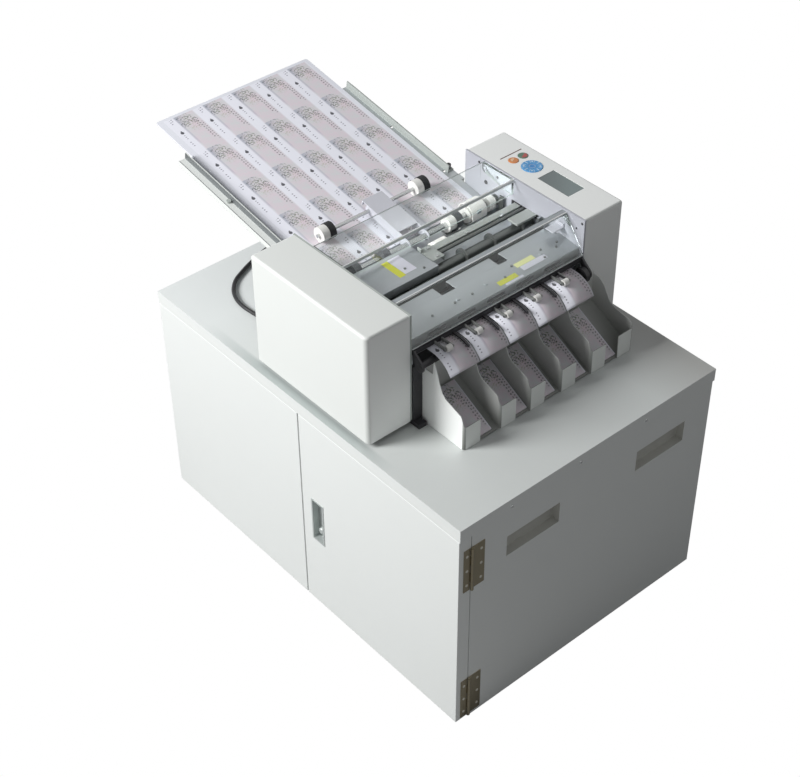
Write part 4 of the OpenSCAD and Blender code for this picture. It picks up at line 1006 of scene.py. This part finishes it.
def makeRingMarks():
    # pale spokes between the arrows and a pale ring round the middle key
    bm = bmesh.new()
    x, y = millimetres(*panel["ring"])
    near, far = millimetres(*panel["markReach"])
    thick, size, reach = millimetres(panel["markThick"], panel["headSize"], panel["headReach"])
    for k in range(panel["marks"]):
        wide = 0.0007 if k % 3 else 0.0012
        made = addBlock(bm, (near, -wide / 2, 0), (far, wide / 2, thick))
        spin(bm, made, 2 * math.pi * k / panel["marks"], "Z")
    for k in range(4):
        # arrow heads that point outwards
        head = bmesh.ops.create_cone(bm, cap_ends=True, segments=3, radius1=size, radius2=size, depth=thick)
        bmesh.ops.translate(bm, verts=head["verts"], vec=(reach, 0, thick / 2))
        spin(bm, head["verts"], math.pi * (k / 2 + 0.25), "Z")
    bmesh.ops.translate(bm, verts=bm.verts, vec=(x, y, keyTop("arrow_pad")))
    obj = newPiece("arrow_marks", bm, bodyOf("arrow_pad"), finishes["keyMark"])
    bm = bmesh.new()
    for radius in millimetres(panel["middle"], panel["middle"] - panel["middleLine"]):
        bmesh.ops.create_circle(bm, segments=40, radius=radius)
    bmesh.ops.bridge_loops(bm, edges=bm.edges[:])
    bmesh.ops.translate(bm, verts=bm.verts, vec=(x, y, keyTop("ok_button") + panel["markLift"]))
    obj = newPiece("middle_key_ring", bm, bodyOf("ok_button"), finishes["keyMark"])


def makeHalfMark(key, finish):
    # half disc printed on a round key
    bm = bmesh.new()
    node = key + "_button"
    radius, turn = panel[key + "Mark"][0] / 1000, panel[key + "Mark"][1]
    steps = 16
    angles = [math.pi * k / steps for k in range(steps + 1)]
    bm.faces.new([bm.verts.new((radius * math.cos(a), radius * math.sin(a), 0)) for a in angles])
    spin(bm, bm.verts, math.radians(turn), "Z")
    place = (*millimetres(*panel[key]), keyTop(node) + panel["markLift"])
    bmesh.ops.translate(bm, verts=bm.verts, vec=place)
    obj = newPiece(key + "_key_mark", bm, bodyOf(node), finishes[finish])


makeRingMarks()
makeHalfMark("start", "redMark")
makeHalfMark("stop", "paleOrangeMark")
slotLow, slotHigh = panel["slot"]
makeBlocks("panel_slot_line", [((*slotLow, panel["top"] - 0.5), (*slotHigh, panel["top"] + 0.12))],
           "machine", "slotBrown", 0)
print("panel marked")

# labels, screws and small blocks of the mechanism


def surfaceTree(names):
    bm = bmesh.new()
    for name in names.split():
        bm.from_mesh(nodes[name].data)
    tree = BVHTree.FromBMesh(bm)
    bm.free()
    return tree


def layPlate(name, tree, x0, x1, y0, y1, thick, finish, slot):
    # a thin plate whose corners rest on the surface under them
    bm = bmesh.new()
    feet = []
    for x, y in ((x0, y0), (x1, y0), (x1, y1), (x0, y1)):
        hit = tree.ray_cast(Vector((*millimetres(x, y), 1)), Vector((0, 0, -1)))[0]
        feet.append(hit + Vector((0, 0, 0.00005)))
    low = [bm.verts.new(f) for f in feet]
    high = [bm.verts.new(f + Vector((0, 0, thick / 1000))) for f in feet]
    bm.faces.new(high)
    count = len(low)
    for k in range(count):
        bm.faces.new((low[k], low[(k + 1) % count], high[(k + 1) % count], high[k]))
    obj = newPiece(name, bm, "machine", finishes[finish])


def makeDrums(name, drums, axis, body, finish, edge=0.0003):
    # drums are centre, radius and length in millimetres
    bm = bmesh.new()
    for centre, *sizes in drums:
        radius, length = millimetres(*sizes)
        made = bmesh.ops.create_cone(bm, cap_ends=True, segments=24, radius1=radius, radius2=radius,
                                     depth=length)["verts"]
        if axis != "Z":
            spin(bm, made, math.pi / 2, "Y" if axis == "X" else "X")
        bmesh.ops.translate(bm, verts=made, vec=millimetres(*centre))
    breakEdges(bm, edge, 40, 2)
    obj = newPiece(name, bm, body, finishes[finish])
    smoothByAngle(obj)


labels = {  # millimetres: low and high x, low and high y
    "cover_plate_label_yellow": (-89, -78, -40, 2, "yellowLabel"),
    "cover_plate_label_white": (-77.5, -56, -38, 3, "whiteLabel"),
    "front_plate_label_yellow": (18, 54, -131, -122, "yellowLabel"),
    "front_plate_label_white_1": (26, 60, -135.5, -131.5, "whiteLabel"),
    "front_plate_label_pale": (64, 100, -117, -108, "paleYellowLabel"),
    "front_plate_label_white_2": (68, 116, -127, -117.5, "whiteLabel"),
}
labelThick = 0.15


def makeLabels():
    top = surfaceTree("feed_cover_plate front_plate hold_plates slitter_frame")
    for name, (*box, finish) in labels.items():
        layPlate(name, top, *box, labelThick, finish, slotOf("front_plate"))


plates = {  # millimetres
    "sideScrews": ((75, 588, 1.9), (59, 558, 3.6), (33, 580, 2.2), (-141.6, 588, 2.0), (-131, 575, 1.6)),
    "seam": (71.6, 72.3, 557, 594),
    "shadowGap": (-66, 3, 549, 557),
    "topScrews": (
        (-57, -118), (-25, -119), (36, -121), (112, -124), (119, -108), (60, -109), (-140, -118),
        (-100, -119), (142, -117), (150, -110), (-70, -28), (-48, -44),
    ),
    "topScrew": (2.0, 1.2),
}


def makeSideMarks():
    # screws, a seam, and a dark strip of painted shade in the shadow gap, on the right plate's inner face,
    # placed by y and z
    side = surfaceTree("right_side_plate")

    def inner(y, z):
        return side.ray_cast(Vector(millimetres(140, y, z)), Vector((1, 0, 0)))[0].x * 1000

    heads = [((inner(y, z) - 0.2, y, z), radius, 0.8) for y, z, radius in plates["sideScrews"]]
    makeDrums("right_plate_screws", heads, "X", "machine", "blackSteel", 0.0002)
    for name, finish, proud, (y0, y1, z0, z1) in (
        ("right_plate_seam", "bendGrey", 0.06, plates["seam"]),
        ("right_plate_shadow_gap", "blackSteel", 0.15, plates["shadowGap"]),
    ):
        face = inner((y0 + y1) / 2, (z0 + z1) / 2)
        makeBlocks(name, [((face - proud, y0, z0), (face + 0.1, y1, z1))], "machine", finish, 0)


def makePlateScrews():
    top = surfaceTree("front_plate hold_plates feed_cover_plate slitter_frame")
    heads = []
    for x, y in plates["topScrews"]:
        hit = top.ray_cast(Vector((*millimetres(x, y), 1)), Vector((0, 0, -1)))[0]
        if hit:
            heads.append(((x, y, hit.z * 1000 + 0.5), *plates["topScrew"]))
    makeDrums("plate_screws", heads, "Z", "machine", "darkShaft", 0.0002)


hinge = {
    "feet": (7.0, 275.0),
    "frameX": -212.5,
    "doorX": -238.6,
    "heights": (12.0, 40.0, 68.0),
    "leafFace": 347.1,
    "screw": (2.3, 1.2),
    "rivets": (-159.0, -27.5, 104.0),
    "rivetZ": 387.2,
    "rivet": (2.2, 2.0),
}


def makeHingeScrews():
    for side, door in ((-1, "near"), (1, "far")):
        y = side * hinge["leafFace"]
        for name, body in (("frame", "machine"), ("door", bodyOf(door + "_door"))):
            heads = [((hinge[name + "X"], y, foot + height), *hinge["screw"])
                     for foot in hinge["feet"] for height in hinge["heights"]]
            makeDrums(f"{door}_hinge_{name}_screws", heads, "Y", body, "hingeScrew", 0.0003)


def makeRivets():
    low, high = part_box("cabinet_top")
    heads = [((x, end * 1000, hinge["rivetZ"]), *hinge["rivet"])
             for x in hinge["rivets"] for end in (low.y, high.y)]
    makeDrums("lip_rivets", heads, "Y", "machine", "brightScrew", 0.0005)


makeLabels()
makeSideMarks()
makePlateScrews()
makeHingeScrews()
makeRivets()
print("labels and screws laid")

# white plastic and brackets round the feed shaft

feed = {  # millimetres and degrees
    "y": 38.0,
    "z": 539.4,
    "guardEnds": (106.5, 135.5),
    "guardRadii": (15.0, 17.2),
    "guardStart": -20,
    "guardSweep": 220,
    "guardSteps": 22,
    "endHub": (152.5, 12.6, 12),
}
smallBlocks = {  # finish, a node, edge, and pairs of corners in millimetres
    "guard_window": ("bendGrey", "feed_hubs", 0, [((114.5, 19.8, 545.5), (122.5, 22.4, 551.5))]),
    "right_end_posts": ("darkShaft", "feed_hubs", 0.0002, [((161.5, 15.5, 531), (163.5, 24, 557))]),
    "white_feed_block": ("whitePlastic", "feed_hubs", 0.0006, [
        ((8, 0, 532), (40, 12, 546.5)), ((14, 2, 546.5), (34, 9, 549.5)),
    ]),
    "lilac_corner_plate": ("paleSteel", "right_side_plate", 0.0006, [
        ((145, -106, 562.5), (167.5, -90, 564.5)), ((165.5, -106, 564.5), (167.5, -90, 570)),
    ]),
    "scored_bracket": ("barGrey", "slitter_frame", 0.0003, [
        ((-26, -38, 558), (-3, -4, 559.2)), ((-5, -38, 551), (-3, -4, 559.2)),
        ((-26, -12, 559.2), (-24, -4, 566)),
    ]),
}
bracketScrews = [
    ((-14, -33, 560.2), 2.6, 2.2), ((-12, -10, 560.2), 2.6, 2.2),
    ((60, -15, 556), 2.4, 2.4), ((128, -17, 556), 2.4, 2.4),
]


def makeRollerGuard():
    # static white shroud over the wide hub, open below for the paper
    bm = bmesh.new()
    (x0, x1), (inner, outer) = millimetres(*feed["guardEnds"]), millimetres(*feed["guardRadii"])
    rings = []
    for k in range(feed["guardSteps"] + 1):
        angle = math.radians(feed["guardStart"] + feed["guardSweep"] * k / feed["guardSteps"])
        rings.append([bm.verts.new((x, math.cos(angle) * r, math.sin(angle) * r))
                      for x, r in ((x0, inner), (x0, outer), (x1, outer), (x1, inner))])
    for a, b in zip(rings, rings[1:]):
        for k in range(4):
            bm.faces.new((a[k], a[(k + 1) % 4], b[(k + 1) % 4], b[k]))
    bm.faces.new(rings[0][::-1])
    bm.faces.new(rings[-1])
    bmesh.ops.recalc_face_normals(bm, faces=bm.faces)
    bmesh.ops.translate(bm, verts=bm.verts, vec=(0, *millimetres(feed["y"], feed["z"])))
    breakEdges(bm, 0.0004, 40, 2)
    obj = newPiece("roller_guard", bm, "machine", finishes["whitePlastic"])
    smoothByAngle(obj)


makeRollerGuard()
for name, (finish, node, edge, blocks) in smallBlocks.items():
    makeBlocks(name, blocks, "machine", finish, edge)
hubX, hubRadius, hubLength = feed["endHub"]
makeDrums("right_end_hub", [((hubX, feed["y"], feed["z"]), hubRadius, hubLength)], "X",
          bodyOf("feed_hubs"), "whitePlastic")
makeDrums("bracket_screws", bracketScrews, "Z", "machine", "brightScrew")
print("mechanism dressed")

# floor, lamps and world

setting = {
    "floorSize": 14.0,
    "floorZ": -0.0005,
    "floorTone": (0.34, 0.34, 0.34),
    "worldTone": (0.97, 0.98, 1.0),
    "worldStrength": 0.24,
    "lampPlace": (-2.1, 0.9, 1.9),
    "lampAim": (0.0, 0.0, 0.35),
    "lampSize": 1.1,
    "lampPower": 78.0,
}


def mixByRay(tree, kinds, usual, special, output):
    # rays of the given kinds meet the special shader in place of the usual one
    path = tree.nodes.new("ShaderNodeLightPath")
    seen = path.outputs[kinds[0]]
    for kind in kinds[1:]:
        seen = addMath(tree, "ADD", seen, path.outputs[kind], clamp=True)
    mix = tree.nodes.new("ShaderNodeMixShader")
    for slot, value in enumerate((seen, usual.outputs[0], special.outputs[0])):
        plug(tree, mix.inputs[slot], value)
    plug(tree, tree.nodes[output].inputs["Surface"], mix.outputs["Shader"])


def makeSetting():
    bm = bmesh.new()
    bmesh.ops.create_grid(bm, x_segments=1, y_segments=1, size=setting["floorSize"] / 2)
    mesh = bpy.data.meshes.new("floor")
    bm.to_mesh(mesh)
    bm.free()
    floor = bpy.data.objects.new("floor", mesh)
    floor.location.z = setting["floorZ"]
    bpy.context.scene.collection.objects.link(floor)
    material, tree, shader = startMaterial("floor")[:3]
    plugAll(tree, shader, {"Base Color": setting["floorTone"], "Roughness": 0.9})
    # the floor looks white to the camera and dims the light that it throws back
    glow = tree.nodes.new("ShaderNodeEmission")
    plug(tree, glow.inputs["Strength"], 1.0)
    mixByRay(tree, ("Is Camera Ray", "Is Transmission Ray"), shader, glow, "Material Output")
    mesh.materials.append(material)
    world = bpy.data.worlds.new("world")
    bpy.context.scene.world = world
    world.use_nodes = True
    tree = world.node_tree
    back = tree.nodes["Background"]
    plugAll(tree, back, {"Color": setting["worldTone"], "Strength": setting["worldStrength"]})
    white = tree.nodes.new("ShaderNodeBackground")
    plug(tree, white.inputs["Strength"], 1.0)
    mixByRay(tree, ("Is Camera Ray", "Is Glossy Ray", "Is Transmission Ray"), back, white, "World Output")
    key = bpy.data.lights.new("key", "AREA")
    key.shape = "DISK"
    key.size = setting["lampSize"]
    key.energy = setting["lampPower"]
    lamp = bpy.data.objects.new("key", key)
    aim = Vector(setting["lampPlace"]) - Vector(setting["lampAim"])
    lamp.location = setting["lampPlace"]
    lamp.rotation_euler = aim.to_track_quat("Z", "Y").to_euler()
    bpy.context.scene.collection.objects.link(lamp)
    bpy.context.scene.view_settings.view_transform = "Standard"


makeSetting()
print("floor and lamp set")
